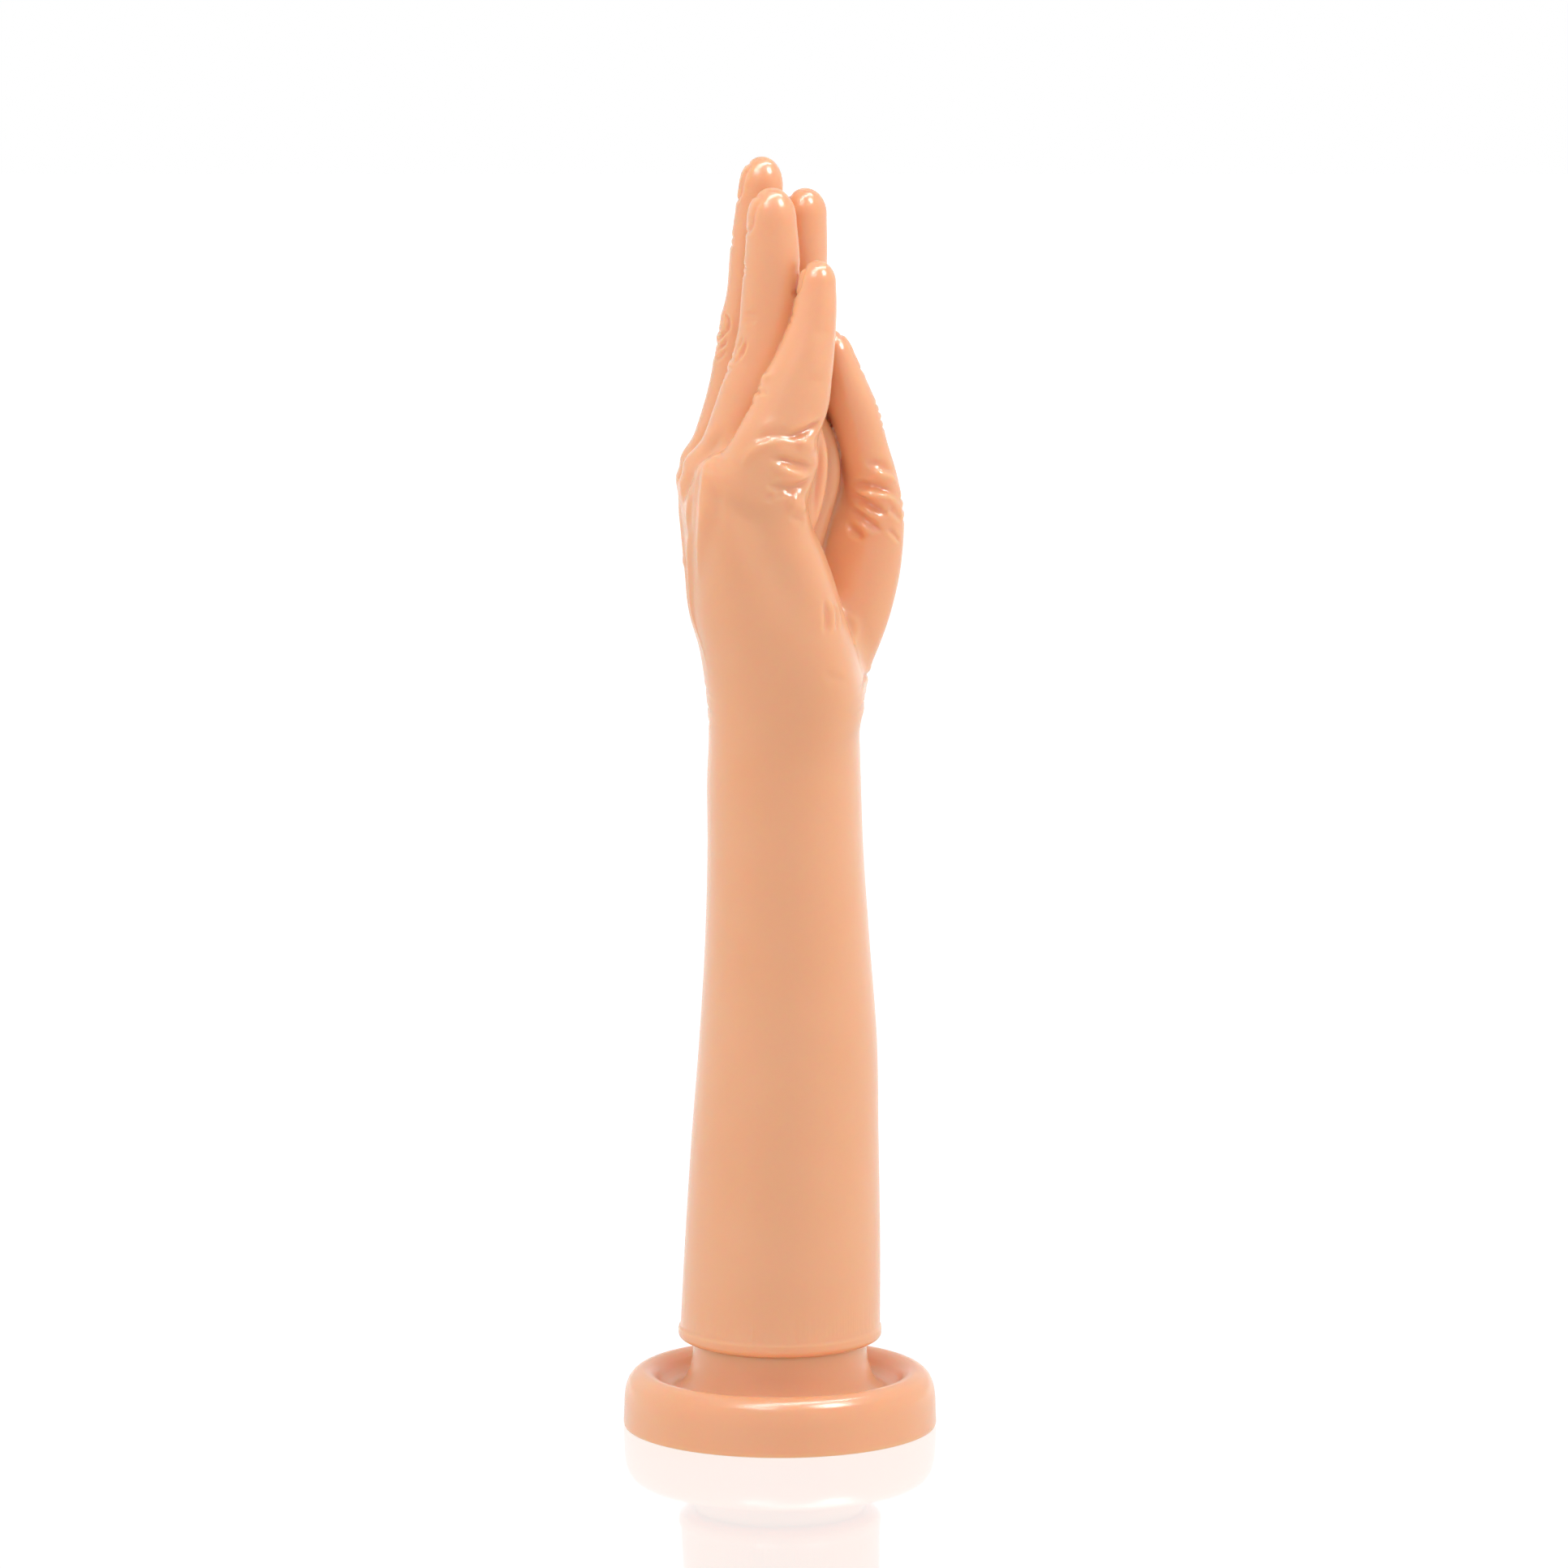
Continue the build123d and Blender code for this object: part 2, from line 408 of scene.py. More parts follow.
@dataclass(frozen=True)
class Nail:
    """A nail on the back of a digit.

    Attributes:
        length: from the cuticle to the free edge, in mm.
        tip_gap: from the free edge to the very tip.
        spread: half of its width, as a share of the digit's half width.
        proud: how far the plate stands out of the skin.
        fold: depth of the groove round it, and groove is how wide that is.
        swell: height of the skin outside the groove as a share of the fold, and swell_at and swell_width
            are how far out it is and how wide.
        cuticle_corner: radius of the plate's corners at the cuticle, and free_corner at the free edge.
    """

    length: float
    tip_gap: float = 2.6
    spread: float = 0.57
    proud: float = 0.2
    fold: float = 0.42
    groove: float = 0.75
    swell: float = 0.35
    swell_at: float = 1.6
    swell_width: float = 1.0
    cuticle_corner: float = 3.2
    free_corner: float = 2.0

    def rise(self, run: Run, points: np.ndarray) -> np.ndarray:
        """Works out how far the skin rises at points on the digit.

        The plate is a rounded box on the digit's back, measured along the digit and round it. d is the
        distance inside its outline. The skin rises by proud where d > 0, drops by fold along d = 0, and
        swells a little outside it, as the skin of a finger does round its nail. All of it fades out
        towards the sides and over the tip, where the back turns into the front.

        Args:
            run: the digit.
            points: rows of x, y, z near the digit.

        Returns:
            Heights in mm.
        """
        place, forward, sideways, past, reaches = run.local(points)
        along = place + np.maximum(past, 0.0) * (place >= run.length - 1e-6)
        middle = run.length + run.cap - self.tip_gap - self.length / 2
        half = reaches[:, 2] * self.spread
        corner = np.where(along < middle, self.cuticle_corner, self.free_corner)
        u = np.abs(along - middle) - self.length / 2 + corner
        v = np.abs(sideways) - half + corner
        outside = np.sqrt(np.maximum(u, 0) ** 2 + np.maximum(v, 0) ** 2)
        d = corner - outside - np.minimum(np.maximum(u, v), 0)
        plate = self.proud * smooth_step(-0.1, 0.7, d)
        groove = self.fold * np.exp(-((d / self.groove) ** 2))
        swell = self.swell * self.fold * np.exp(-(((d + self.swell_at) / self.swell_width) ** 2))
        swell = swell * (along < middle + self.length / 2)
        return (plate - groove + swell) * smooth_step(-0.2, -0.5, forward / reaches[:, 0])


# ---- lines on the skin --------------------------------------------------------------------------
# Each row is a depth, a width and the pairs of a line, in mm. Those of the first eight tables are drawn from
# the little finger's side.

# Folds of the palm's edge under the little finger.
PALM_EDGE = (
    (1.8, 1.3, (0, 319.4), (4, 319.8), (9, 321.6), (14, 325.5)),
    (0.7, 1.6, (-8, 317.4), (-4, 319.6), (1, 320.6), (5, 321.2)),
    (-0.9, 1.7, (-13, 309.0), (-9.5, 314.0), (-4.5, 317.0), (3, 318.6)),
    (1.6, 1.5, (-4, 313.6), (0, 312.4), (5, 310.9), (9.6, 310.2), (12, 310.6)),
    (1.6, 1.5, (-5, 304.6), (0, 303.6), (4, 303.2), (8, 304.8), (10.5, 306.4)),
    (0.6, 1.2, (-6, 300.0), (-2, 301.0), (2.5, 301.8)),
    (-1.1, 2.2, (5.0, 318.0), (8.5, 316.6), (11.5, 315.0)),
    (-1.4, 2.3, (-1.0, 310.4), (2, 309.0), (5, 307.6), (9.6, 306.8)),
    (-0.4, 1.3, (-3, 302.2), (1, 302.8), (4, 302.4)),
    (-1.4, 2.4, (2.0, 299.0), (5.6, 298.0), (8.6, 296.4)),
    (0.6, 1.4, (2.5, 294.6), (5.5, 294.0), (8.5, 292.6)),
)
# Metacarpal ridge of the little finger, and the hollows beside it.
METACARPALS = (
    (-1.5, 2.6,
     (-15, 317), (-20, 313), (-22.4, 309.5), (-23.2, 303),
     (-23.8, 294), (-25, 282), (-26, 272)),
    (0.5, 2.0, (-25.4, 312), (-27.2, 306), (-28.0, 296), (-28.8, 284)),
    (0.5, 2.2, (-20.0, 305), (-19.6, 298), (-20.5, 289)),
)
# Wrist creases at the heel of the palm.
WRIST_HEEL = (
    (1.0, 1.3, (13.6, 269), (14.8, 265), (15.0, 260), (14.2, 256)),
    (0.6, 1.2, (17.0, 268), (18.0, 263), (17.6, 258)),
    (0.9, 1.3, (20.5, 264), (22.6, 258), (23.4, 253)),
    (0.35, 1.5, (13.0, 246), (17.0, 243.5), (22.0, 242)),
)
# Fan of wrinkles at the thumb's knuckle.
THUMB_FAN = (
    (1.5, 1.25, (21.0, 305.2), (26, 304.4), (31, 303.6), (36.5, 301.6)),
    (-1.3, 1.3, (22.5, 303.0), (28, 301.8), (34, 300.2), (38, 297.6)),
    (1.6, 1.2, (21.0, 301.6), (26, 299.2), (31, 296.6), (35, 294.4)),
    (1.3, 1.2, (21.0, 297.6), (25, 294.8), (29.5, 291.4), (33, 289)),
    (1.1, 1.2, (20.5, 292.5), (23.5, 289.8), (27, 287)),
    (-1.3, 1.4, (28.0, 308.4), (33, 307.2), (37.2, 304.6)),
    (0.9, 1.3, (26, 311.6), (31, 310.8), (35.5, 308.4)),
    (0.8, 1.0, (33, 297.4), (36.4, 295.4), (38.6, 292.6)),
    (0.64, 0.7, (33, 291), (36, 288.6), (38.0, 285.8)),
)
# Long folds of the palm's hollow.
PALM_HOLLOW = (
    (0.9, 1.5, (13.2, 322), (12.6, 314), (12.0, 307), (11.2, 299), (10.8, 291)),
    (0.7, 1.4, (15.5, 320), (16.2, 312), (15.2, 303), (13.4, 294)),
)
# Little finger: knuckle and wrinkles.
LITTLE_WRINKLES = (
    (-0.8, 1.5, (-6.6, 336.5), (-4.2, 338.2), (-1.2, 339.4)),
    (0.48, 0.7, (-8.4, 333.2), (-6.0, 333.6), (-3.2, 332.8)),
    (0.22, 1.6, (9.0, 352.6), (13, 352.0), (17.6, 352.8)),
    (0.3, 2.0, (8.0, 337.6), (12, 337.0), (16.4, 337.8)),
)
# Ring finger: wrinkles of the middle joint.
RING_WRINKLES = (
    (0.96, 0.7, (-14.6, 342.2), (-12.6, 344.4), (-11.2, 347.6), (-10.4, 350.4)),
    (0.64, 0.6, (-13.6, 346.4), (-12.4, 348.4), (-11.8, 351)),
    (-0.48, 0.8, (-13.4, 343.4), (-12.0, 345.4)),
    (0.3, 1.3, (3.0, 371.6), (4.8, 371.4), (6.6, 372.4)),
)
# Middle finger: wrinkles of the middle joint.
MIDDLE_WRINKLES = (
    (0.88, 0.7, (-17.6, 358.6), (-16.4, 356.4), (-16.2, 353.4), (-17.4, 350.8)),
    (0.8, 0.6, (-20.0, 349.2), (-18.2, 350.8), (-16.8, 353)),
    (0.8, 0.6, (-20.4, 346.6), (-18.2, 347.6), (-16.4, 350)),
    (0.56, 0.6, (-20.4, 343.4), (-18.4, 344.6), (-16.8, 347)),
)
# The middle joint of each finger from the back: place across, height of the joint and half width.
MIDDLE_JOINTS = ((-21.5, 332, 6.0), (-8.2, 341, 6.6), (9.2, 348, 6.8), (20.5, 341, 6.4))
# A middle joint's wrinkles: height over the joint, share of its half width, and depth.
JOINT_WRINKLES = (
    (-5.4, 0.6, 0.24), (-3.2, 0.85, 0.36), (-1.1, 1.0, 0.48),
    (1.1, 1.0, 0.48), (3.3, 0.8, 0.36), (5.2, 0.55, 0.24),
)
# The end joint of each finger from the back: place across, height and half width.
END_JOINTS = ((-16.2, 356, 5.0), (-7.6, 370, 5.6), (8.8, 378, 5.8), (15.2, 368, 5.4))
# Tendons of the back, from the knuckles down to the wrist.
TENDONS = (
    (-0.75, 2.4, (-24.5, 309), (-20, 290), (-13, 268), (-8, 250)),
    (-0.75, 2.4, (-8.5, 309), (-7.5, 290), (-5, 268), (-3, 248)),
    (-0.75, 2.4, (9.5, 309), (8, 290), (5, 268), (2, 248)),
    (-0.75, 2.4, (26, 307), (21, 290), (13, 268), (7, 250)),
)
# Veins of the back.
VEINS = (
    (-0.35, 1.2, (-14, 240), (-12, 262), (-17, 284), (-16.5, 300)),
    (-0.3, 1.2, (14, 236), (17, 258), (16, 280), (19, 296)),
    (-0.28, 1.1, (-16, 272), (-2, 282), (8, 297)),
)
# Wrist creases, from the back and from the palm.
WRIST_BACK = (
    (0.25, 0.8, (-18, 225), (0, 227), (19, 225)),
    (0.3, 0.8, (-18, 230), (0, 232), (19, 230)),
    (0.25, 0.8, (-18, 236), (0, 238), (19, 236)),
)
WRIST_PALM = (
    (0.55, 0.9, (-19, 231), (-8, 233), (5, 234), (20, 231)),
    (0.7, 0.9, (-19, 238), (-8, 240), (5, 241), (20, 238)),
)
# Folds of the thumb's web, and wrinkles of its joints, from the thumb's side.
THUMB_SIDE = (
    (0.8, 1.0, (-8, 305), (2, 303), (12, 298), (20, 292)),
    (0.5, 0.9, (-6, 298), (4, 296), (14, 290)),
    (0.5, 0.8, (24, 300), (29, 297), (34, 294)),
    (0.5, 0.8, (23, 304), (29, 302), (35, 299)),
    (0.7, 0.9, (-2, 314.5), (4, 315.5), (9, 318)),
    (0.4, 0.8, (4, 341), (9, 341.5), (13.5, 343)),
)


# ---- the hand -----------------------------------------------------------------------------------
@dataclass(frozen=True)
class Fillets:
    """How wide the fillets are where two bodies of flesh meet, in mm.

    Attributes:
        heel: between the column and the heel of the palm.
        web: between the palm and the web of the thumb.
        fold: round each fold inside the palm.
        finger: between two fingers, whose skins only touch.
        root: between the palm and the fingers: wide, narrow, and the heights where it narrows.
        thumb: between the palm and the thumb, the same way.
        foot: between the column and the foot.
        mouth: round the mouth of the socket.
        slab, under and lip: along the foot's upper edge, its underside, and the lip between them.
    """

    heel: float = 12.0
    web: float = 6.0
    fold: float = 2.4
    finger: float = 1.2
    root: tuple[float, float, float, float] = (5.5, 1.5, 318.0, 330.0)
    thumb: tuple[float, float, float, float] = (8.0, 1.0, 280.0, 306.0)
    foot: float = 0.5
    mouth: float = 0.6
    slab: float = 0.5
    under: float = 0.6
    lip: float = 0.9


def narrowing(wide: float, narrow: float, low: float, high: float, z: np.ndarray) -> np.ndarray:
    """Gives a width that falls smoothly from wide at the height low to narrow at the height high."""
    return wide - (wide - narrow) * smooth_step(low, high, z)


@dataclass
class Hand:
    """The hand and forearm: one closed skin of soft vinyl, with a socket in its foot.

    Attributes:
        foot_z: underside of the foot, in mm.
        tip_z: the middle fingertip.
        socket_top: closed end of the socket.
        mouth: radius of the socket at the foot.
        taper: how much the socket narrows for each mm of height.
        foot_flat: radius of the flat part of the foot's underside.
        lip_radius: radius of the foot's lip, and lip_low and lip_high are its heights over the underside.
        buried: how far up in the foot the column starts.
        crown: height of the dome over the column's last section.
        sections: of the column, see Column.
        little, ring, middle, index, thumb: the digits.
        heel: the pad of the palm under the little finger.
        web: the muscle and skin between the thumb and the palm.
        folds: the folds inside the palm, between its edge and the thumb.
        nails: length of each digit's nail, from the little finger to the thumb.
        fillets: between all of these.
        reach_x, reach_y: where the grid starts and ends.
        wrist_z: where the grid's long cells start to shorten again, in easing steps.
    """

    foot_z: float
    tip_z: float
    socket_top: float
    mouth: float
    taper: float
    foot_flat: float = 29.8
    lip_radius: float = 32.45
    lip_low: float = 1.5
    lip_high: float = 4.7
    buried: float = 2.4
    crown: float = 8.5
    sections: Rows = (
        (28.0, 0.0, 0.0, 32.0, 32.0, 32.0, 32.0, 2.0),
        (62.0, 0.9, 0.0, 31.1, 31.1, 31.7, 31.7, 2.0),
        (94.0, 1.65, 0.0, 29.8, 29.8, 31.0, 31.0, 2.0),
        (125.0, 2.6, 0.0, 28.3, 28.3, 30.2, 30.2, 2.05),
        (157.0, 2.3, 0.0, 26.1, 26.2, 29.0, 29.0, 2.1),
        (188.0, 1.7, 0.0, 24.7, 24.7, 28.2, 28.2, 2.2),
        (208.0, 1.3, 0.0, 24.4, 24.4, 27.8, 27.8, 2.25),
        (227.0, 1.2, 0.0, 23.8, 23.9, 27.8, 27.8, 2.3),
        (239.0, 0.3, 0.3, 24.0, 24.4, 28.8, 29.2, 2.3),
        (250.0, -3.0, 0.6, 22.4, 23.0, 30.6, 31.6, 2.25),
        (262.0, -8.0, 0.8, 20.2, 20.0, 32.6, 33.8, 2.2),
        (275.0, -12.5, 1.0, 17.0, 15.5, 34.0, 35.4, 2.15),
        (288.0, -16.0, 1.0, 14.8, 13.0, 34.8, 36.0, 2.1),
        (299.0, -18.5, 1.0, 13.2, 12.0, 34.0, 35.4, 2.1),
        (307.0, -18.5, 1.0, 11.4, 11.0, 31.0, 32.5, 2.1),
    )
    little: Run = Run(
        (
            (-9.5, -24.0, 303.0, 12.8, 12.0, 9.8),
            (-4.8, -24.5, 315.0, 10.8, 13.0, 9.6),
            (1.0, -22.8, 325.0, 11.2, 12.2, 9.2),
            (4.7, -21.0, 334.0, 11.0, 11.4, 8.8),
            (6.6, -20.0, 339.5, 9.9, 10.0, 8.5),
            (8.6, -18.2, 347.0, 8.4, 8.6, 8.1),
            (10.0, -17.0, 353.0, 7.4, 7.6, 7.6),
            (11.2, -15.8, 361.0, 6.6, 6.6, 7.1),
            (11.6, -15.2, 366.5, 5.8, 6.0, 6.5),
        ),
        front=((1, 0.1, 0), (1, -0.05, 0)),
        cap=7.6,
    )
    ring: Run = Run(
        (
            (-19.3, -8.5, 301.0, 11.6, 12.0, 9.6),
            (-14.5, -8.5, 316.6, 9.5, 10.6, 9.4),
            (-11.6, -8.4, 326.0, 9.1, 10.0, 9.0),
            (-9.0, -8.3, 334.0, 9.0, 9.6, 8.9),
            (-6.8, -8.2, 341.5, 8.7, 9.3, 8.5),
            (-5.2, -8.0, 349.0, 8.3, 9.2, 8.3),
            (-3.5, -7.8, 362.0, 8.6, 9.4, 8.4),
            (-2.5, -7.6, 375.0, 8.5, 8.7, 8.3),
            (-2.5, -7.5, 386.0, 7.7, 7.7, 7.8),
        ),
        front=((1, 0.1, 0), (1, 0.15, 0)),
        cap=10.3,
    )
    middle: Run = Run(
        (
            (-20.6, 9.5, 302.0, 11.9, 12.0, 9.8),
            (-17.5, 9.5, 316.0, 9.6, 10.5, 9.5),
            (-13.8, 9.3, 331.0, 8.9, 9.5, 8.9),
            (-11.6, 9.1, 343.0, 8.9, 9.3, 8.8),
            (-10.4, 9.0, 351.5, 8.8, 9.2, 8.8),
            (-9.3, 8.9, 360.0, 7.8, 9.0, 8.4),
            (-7.9, 8.7, 374.0, 7.9, 8.6, 8.3),
            (-6.9, 8.6, 386.0, 7.4, 8.0, 7.9),
            (-6.1, 8.5, 395.5, 6.7, 7.1, 7.3),
        ),
        front=((1, 0, 0), (1, 0, 0)),
        cap=9.5,
    )
    index: Run = Run(
        (
            (-13.0, 26.0, 300.0, 11.5, 11.5, 9.6),
            (-9.0, 25.5, 314.0, 9.6, 10.5, 9.4),
            (-3.2, 23.0, 331.0, 8.9, 9.6, 8.9),
            (0.9, 20.4, 344.0, 8.8, 9.2, 8.8),
            (5.2, 16.8, 361.0, 8.0, 8.8, 8.3),
            (6.8, 14.8, 374.0, 7.9, 8.0, 8.1),
            (7.7, 14.0, 386.0, 6.7, 6.8, 7.3),
        ),
        front=((1, -0.15, 0), (0.85, -0.5, 0)),
        cap=8.8,
    )
    thumb: Run = Run(
        (
            (9.0, 10.0, 232.0, 11.5, 12.0, 13.0),
            (16.6, 13.0, 250.0, 11.6, 13.0, 15.0),
            (23.0, 13.5, 266.0, 11.0, 13.0, 15.0),
            (27.4, 12.5, 280.0, 9.9, 11.0, 13.5),
            (29.4, 11.0, 292.0, 8.9, 9.0, 11.6),
            (28.4, 9.5, 303.0, 8.2, 7.8, 10.3),
            (26.0, 8.0, 314.0, 7.4, 7.3, 9.9),
            (23.2, 6.8, 324.0, 7.7, 7.3, 10.4),
            (20.4, 5.6, 333.0, 6.8, 7.4, 10.4),
            (17.6, 4.6, 342.0, 5.6, 6.4, 9.2),
        ),
        front=((-0.6, -0.8, 0), (-0.97, -0.25, 0)),
        cap=9.2,
        squareness=2.1,
    )
    heel: Run = Run(
        (
            (8.0, -8.0, 232.0, 14.0, 13.6, 15.0),
            (7.5, -12.5, 247.0, 14.5, 15.2, 15.0),
            (4.5, -15.5, 262.0, 15.0, 15.0, 14.5),
            (1.0, -18.0, 276.0, 14.5, 14.2, 13.8),
            (-3.0, -20.0, 289.0, 13.0, 13.2, 12.8),
            (-3.5, -21.0, 301.0, 12.0, 12.6, 11.6),
            (-1.0, -21.0, 313.0, 10.5, 13.2, 10.0),
        ),
        front=((1, -0.2, 0), (1, 0, 0)),
        cap=9.0,
        squareness=2.7,
    )
    web: Run = Run(
        (
            (-12.0, 24.0, 293.0, 20.0, 13.0, 9.0),
            (0.0, 24.0, 292.0, 22.0, 14.0, 8.5),
            (11.0, 20.5, 290.0, 24.0, 15.0, 8.0),
            (21.0, 16.0, 285.0, 22.0, 14.0, 8.5),
        ),
        front=((0, 0, 1), (0, 0, 1)),
        cap=6.0,
    )
    folds: tuple[Run, ...] = (
        Run(
            (
                (4.0, 3.0, 274.0, 9.0, 7.0, 8.0),
                (7.6, 4.0, 284.0, 8.0, 6.0, 6.5),
                (11.6, 5.0, 295.0, 7.0, 5.4, 5.6),
                (13.8, 5.5, 305.0, 7.0, 5.4, 5.4),
                (12.4, 5.5, 315.0, 7.0, 5.2, 5.4),
                (8.0, 4.5, 325.0, 7.0, 4.8, 5.6),
            ),
            cap=7.0,
        ),
        Run(
            (
                (0.0, -7.0, 282.0, 8.0, 6.0, 7.0),
                (6.5, -6.0, 292.0, 7.0, 5.2, 5.6),
                (9.6, -5.0, 302.0, 7.0, 4.8, 5.0),
                (10.4, -4.5, 312.0, 7.0, 4.6, 5.0),
                (8.5, -4.0, 322.0, 7.0, 4.4, 5.0),
            ),
            cap=7.0,
        ),
        Run(
            (
                (3.0, 13.0, 274.0, 8.0, 6.0, 6.0),
                (9.5, 13.5, 286.0, 7.0, 5.0, 5.0),
                (15.4, 13.8, 298.5, 7.0, 5.0, 5.0),
                (16.6, 14.5, 309.0, 8.0, 5.2, 5.4),
                (15.0, 15.5, 319.0, 8.0, 5.4, 5.6),
                (11.5, 15.5, 330.0, 8.0, 5.4, 5.6),
            ),
            cap=5.0,
        ),
    )
    nails: tuple[float, ...] = (8.5, 11.0, 11.5, 11.0, 12.5)
    fillets: Fillets = Fillets()
    reach_x: tuple[float, float] = (-37.0, 43.0)
    reach_y: tuple[float, float] = (-39.0, 42.0)
    wrist_z: float = 202.0
    easing: int = 16

    def __post_init__(self) -> None:
        """Sets up the column, and lists the runs by the names that join uses."""
        self.column = Column(self.sections, self.foot_z + self.buried, self.crown)
        digits = (self.little, self.ring, self.middle, self.index)
        self.runs = {f"digit_{number}": digit for number, digit in enumerate(digits)}
        self.runs |= {f"fold_{number}": fold for number, fold in enumerate(self.folds)}
        self.runs |= {"thumb": self.thumb, "heel": self.heel, "web": self.web}

    # -- the field
    def foot(self, x: np.ndarray, y: np.ndarray, z: np.ndarray) -> np.ndarray:
        """Works out the distance to the foot: a round slab with a thin lip, hollowed a little under it.

        The underside climbs from foot_flat to the lip's lower edge as a straight cone.

        Args:
            x, y, z: places, of shapes that broadcast together, in mm.

        Returns:
            Distances in mm.
        """
        fillets = self.fillets
        radius = np.sqrt(x * x + y * y)
        slab = blend_max(radius - self.lip_radius, z - self.foot_z - self.lip_high, fillets.slab)
        steep = self.lip_low / (self.lip_radius - self.foot_flat)
        cone = steep * (radius - self.foot_flat) - (z - self.foot_z)
        under = blend_max(cone / np.sqrt(1 + steep * steep), self.foot_z - z, fillets.under)
        return blend_max(slab, under, fillets.lip)

    def socket(self, x: np.ndarray, y: np.ndarray, z: np.ndarray) -> np.ndarray:
        """Works out the distance to the tapered hole that goes up into the foot.

        Args:
            x, y, z: places, of shapes that broadcast together, in mm.

        Returns:
            Distances in mm, less than 0 in the hole.
        """
        radius = np.sqrt(x * x + y * y)
        wall = radius - (self.mouth - self.taper * (z - self.foot_z))
        return np.maximum(wall, z - self.socket_top)

    def join(self, column: np.ndarray, runs: dict[str, np.ndarray], place: tuple) -> np.ndarray:
        """Joins the flesh with fillets: wide where it is one muscle, narrow where skin only touches skin.

        Args:
            column: distances to the column.
            runs: distances to each run, by name.
            place: x, y and z, which broadcast with the distances.

        Returns:
            Distances to the whole skin.
        """
        x, y, z = place
        fillets = self.fillets
        palm = blend_min(column, runs["heel"], fillets.heel)
        palm = blend_min(palm, runs["web"], fillets.web)
        for number in (2, 0, 1):
            palm = blend_min(palm, runs[f"fold_{number}"], fillets.fold)
        fingers = runs["digit_0"]
        for number in (1, 2, 3):
            fingers = blend_min(fingers, runs[f"digit_{number}"], fillets.finger)
        hand = blend_min(palm, fingers, narrowing(*fillets.root, z))
        hand = blend_min(hand, runs["thumb"], narrowing(*fillets.thumb, z))
        hand = blend_min(hand, self.foot(x, y, z), fillets.foot)
        return blend_max(hand, -self.socket(x, y, z), fillets.mouth)

    def at(self, points: np.ndarray) -> np.ndarray:
        """Works out the distance from points to the skin.

        Args:
            points: rows of x, y, z in mm.

        Returns:
            Distances in mm, less than 0 in the flesh.
        """
        x, y, z = points.T
        runs = {}
        for name, run in self.runs.items():
            low, high = run.box(margin=10.0)
            near = ((points > low) & (points < high)).all(1)
            apart = np.full(len(points), FAR_AWAY)
            apart[near] = run.distance(points[near])
            runs[name] = apart
        return self.join(self.column.distance(x, y, z), runs, (x, y, z))

    def grid(self) -> tuple[tuple[np.ndarray, ...], np.ndarray]:
        """Works out the field on a grid that is fine in the hand and foot, and long in the forearm.

        Returns:
            The three lines of the grid, and the distances at its points.
        """
        fine, coarse = FINE_GRID, LONG_GRID
        x = np.arange(*self.reach_x, fine)
        y = np.arange(*self.reach_y, fine)
        # Fine cells for the foot, long ones up the forearm, then ever shorter ones up to the wrist.
        foot_top = self.foot_z + self.lip_high + 2.0
        z = np.concatenate(
            [
                np.arange(self.foot_z - 1.5 * fine, foot_top, fine),
                np.arange(foot_top, self.wrist_z, coarse),
                self.wrist_z + np.cumsum(np.linspace(coarse, fine, self.easing)),
            ]
        )
        z = np.concatenate([z, np.arange(z[-1] + fine, self.tip_z + 2 * fine, fine)])
        place = (x[:, None, None], y[None, :, None], z[None, None, :])
        column = self.column.distance(*place)
        runs = {}
        for name, run in self.runs.items():
            low, high = run.box(margin=9.0)
            cut = tuple(
                slice(np.searchsorted(line, a), np.searchsorted(line, b))
                for line, a, b in zip((x, y, z), low, high)
            )
            block = np.stack(np.meshgrid(x[cut[0]], y[cut[1]], z[cut[2]], indexing="ij"), -1)
            apart = np.full(column.shape, FAR_AWAY)
            apart[cut] = run.distance(block.reshape(-1, 3), refine=False).reshape(block.shape[:3])
            runs[name] = apart
        return (x, y, z), self.join(column, runs, place)

    def slope(self, points: np.ndarray, step: float = 0.04) -> tuple[np.ndarray, np.ndarray]:
        """Works out the field and its slope by a small step along each axis.

        Args:
            points: rows of x, y, z in mm.
            step: length of the step.

        Returns:
            The distances, and rows of how fast they grow along x, y and z.
        """
        value = self.at(points)
        moved = [self.at(points + step * axis) for axis in np.eye(3)]
        return value, (np.stack(moved, -1) - value[:, None]) / step

    def settle(
        self, points: np.ndarray, rounds: int, farthest: float = 0.6, flattest: float = 0.05
    ) -> tuple[np.ndarray, np.ndarray]:
        """Slides points along the field's slope onto the skin.

        Each step is the field over its slope, as in Newton's method.

        Args:
            points: rows of x, y, z in mm, near the skin.
            rounds: how many steps to take.
            farthest: longest step, in mm.
            flattest: least square of the slope that a step divides by.

        Returns:
            The points on the skin, and the unit normals there.
        """
        for _ in range(rounds):
            value, slope = self.slope(points)
            square = (slope * slope).sum(-1, keepdims=True)
            step = value[:, None] * slope / np.maximum(square, flattest)
            size = np.linalg.norm(step, axis=1, keepdims=True)
            points = points - step * np.minimum(1.0, farthest / np.maximum(size, TINY))
        return points, unit(slope)

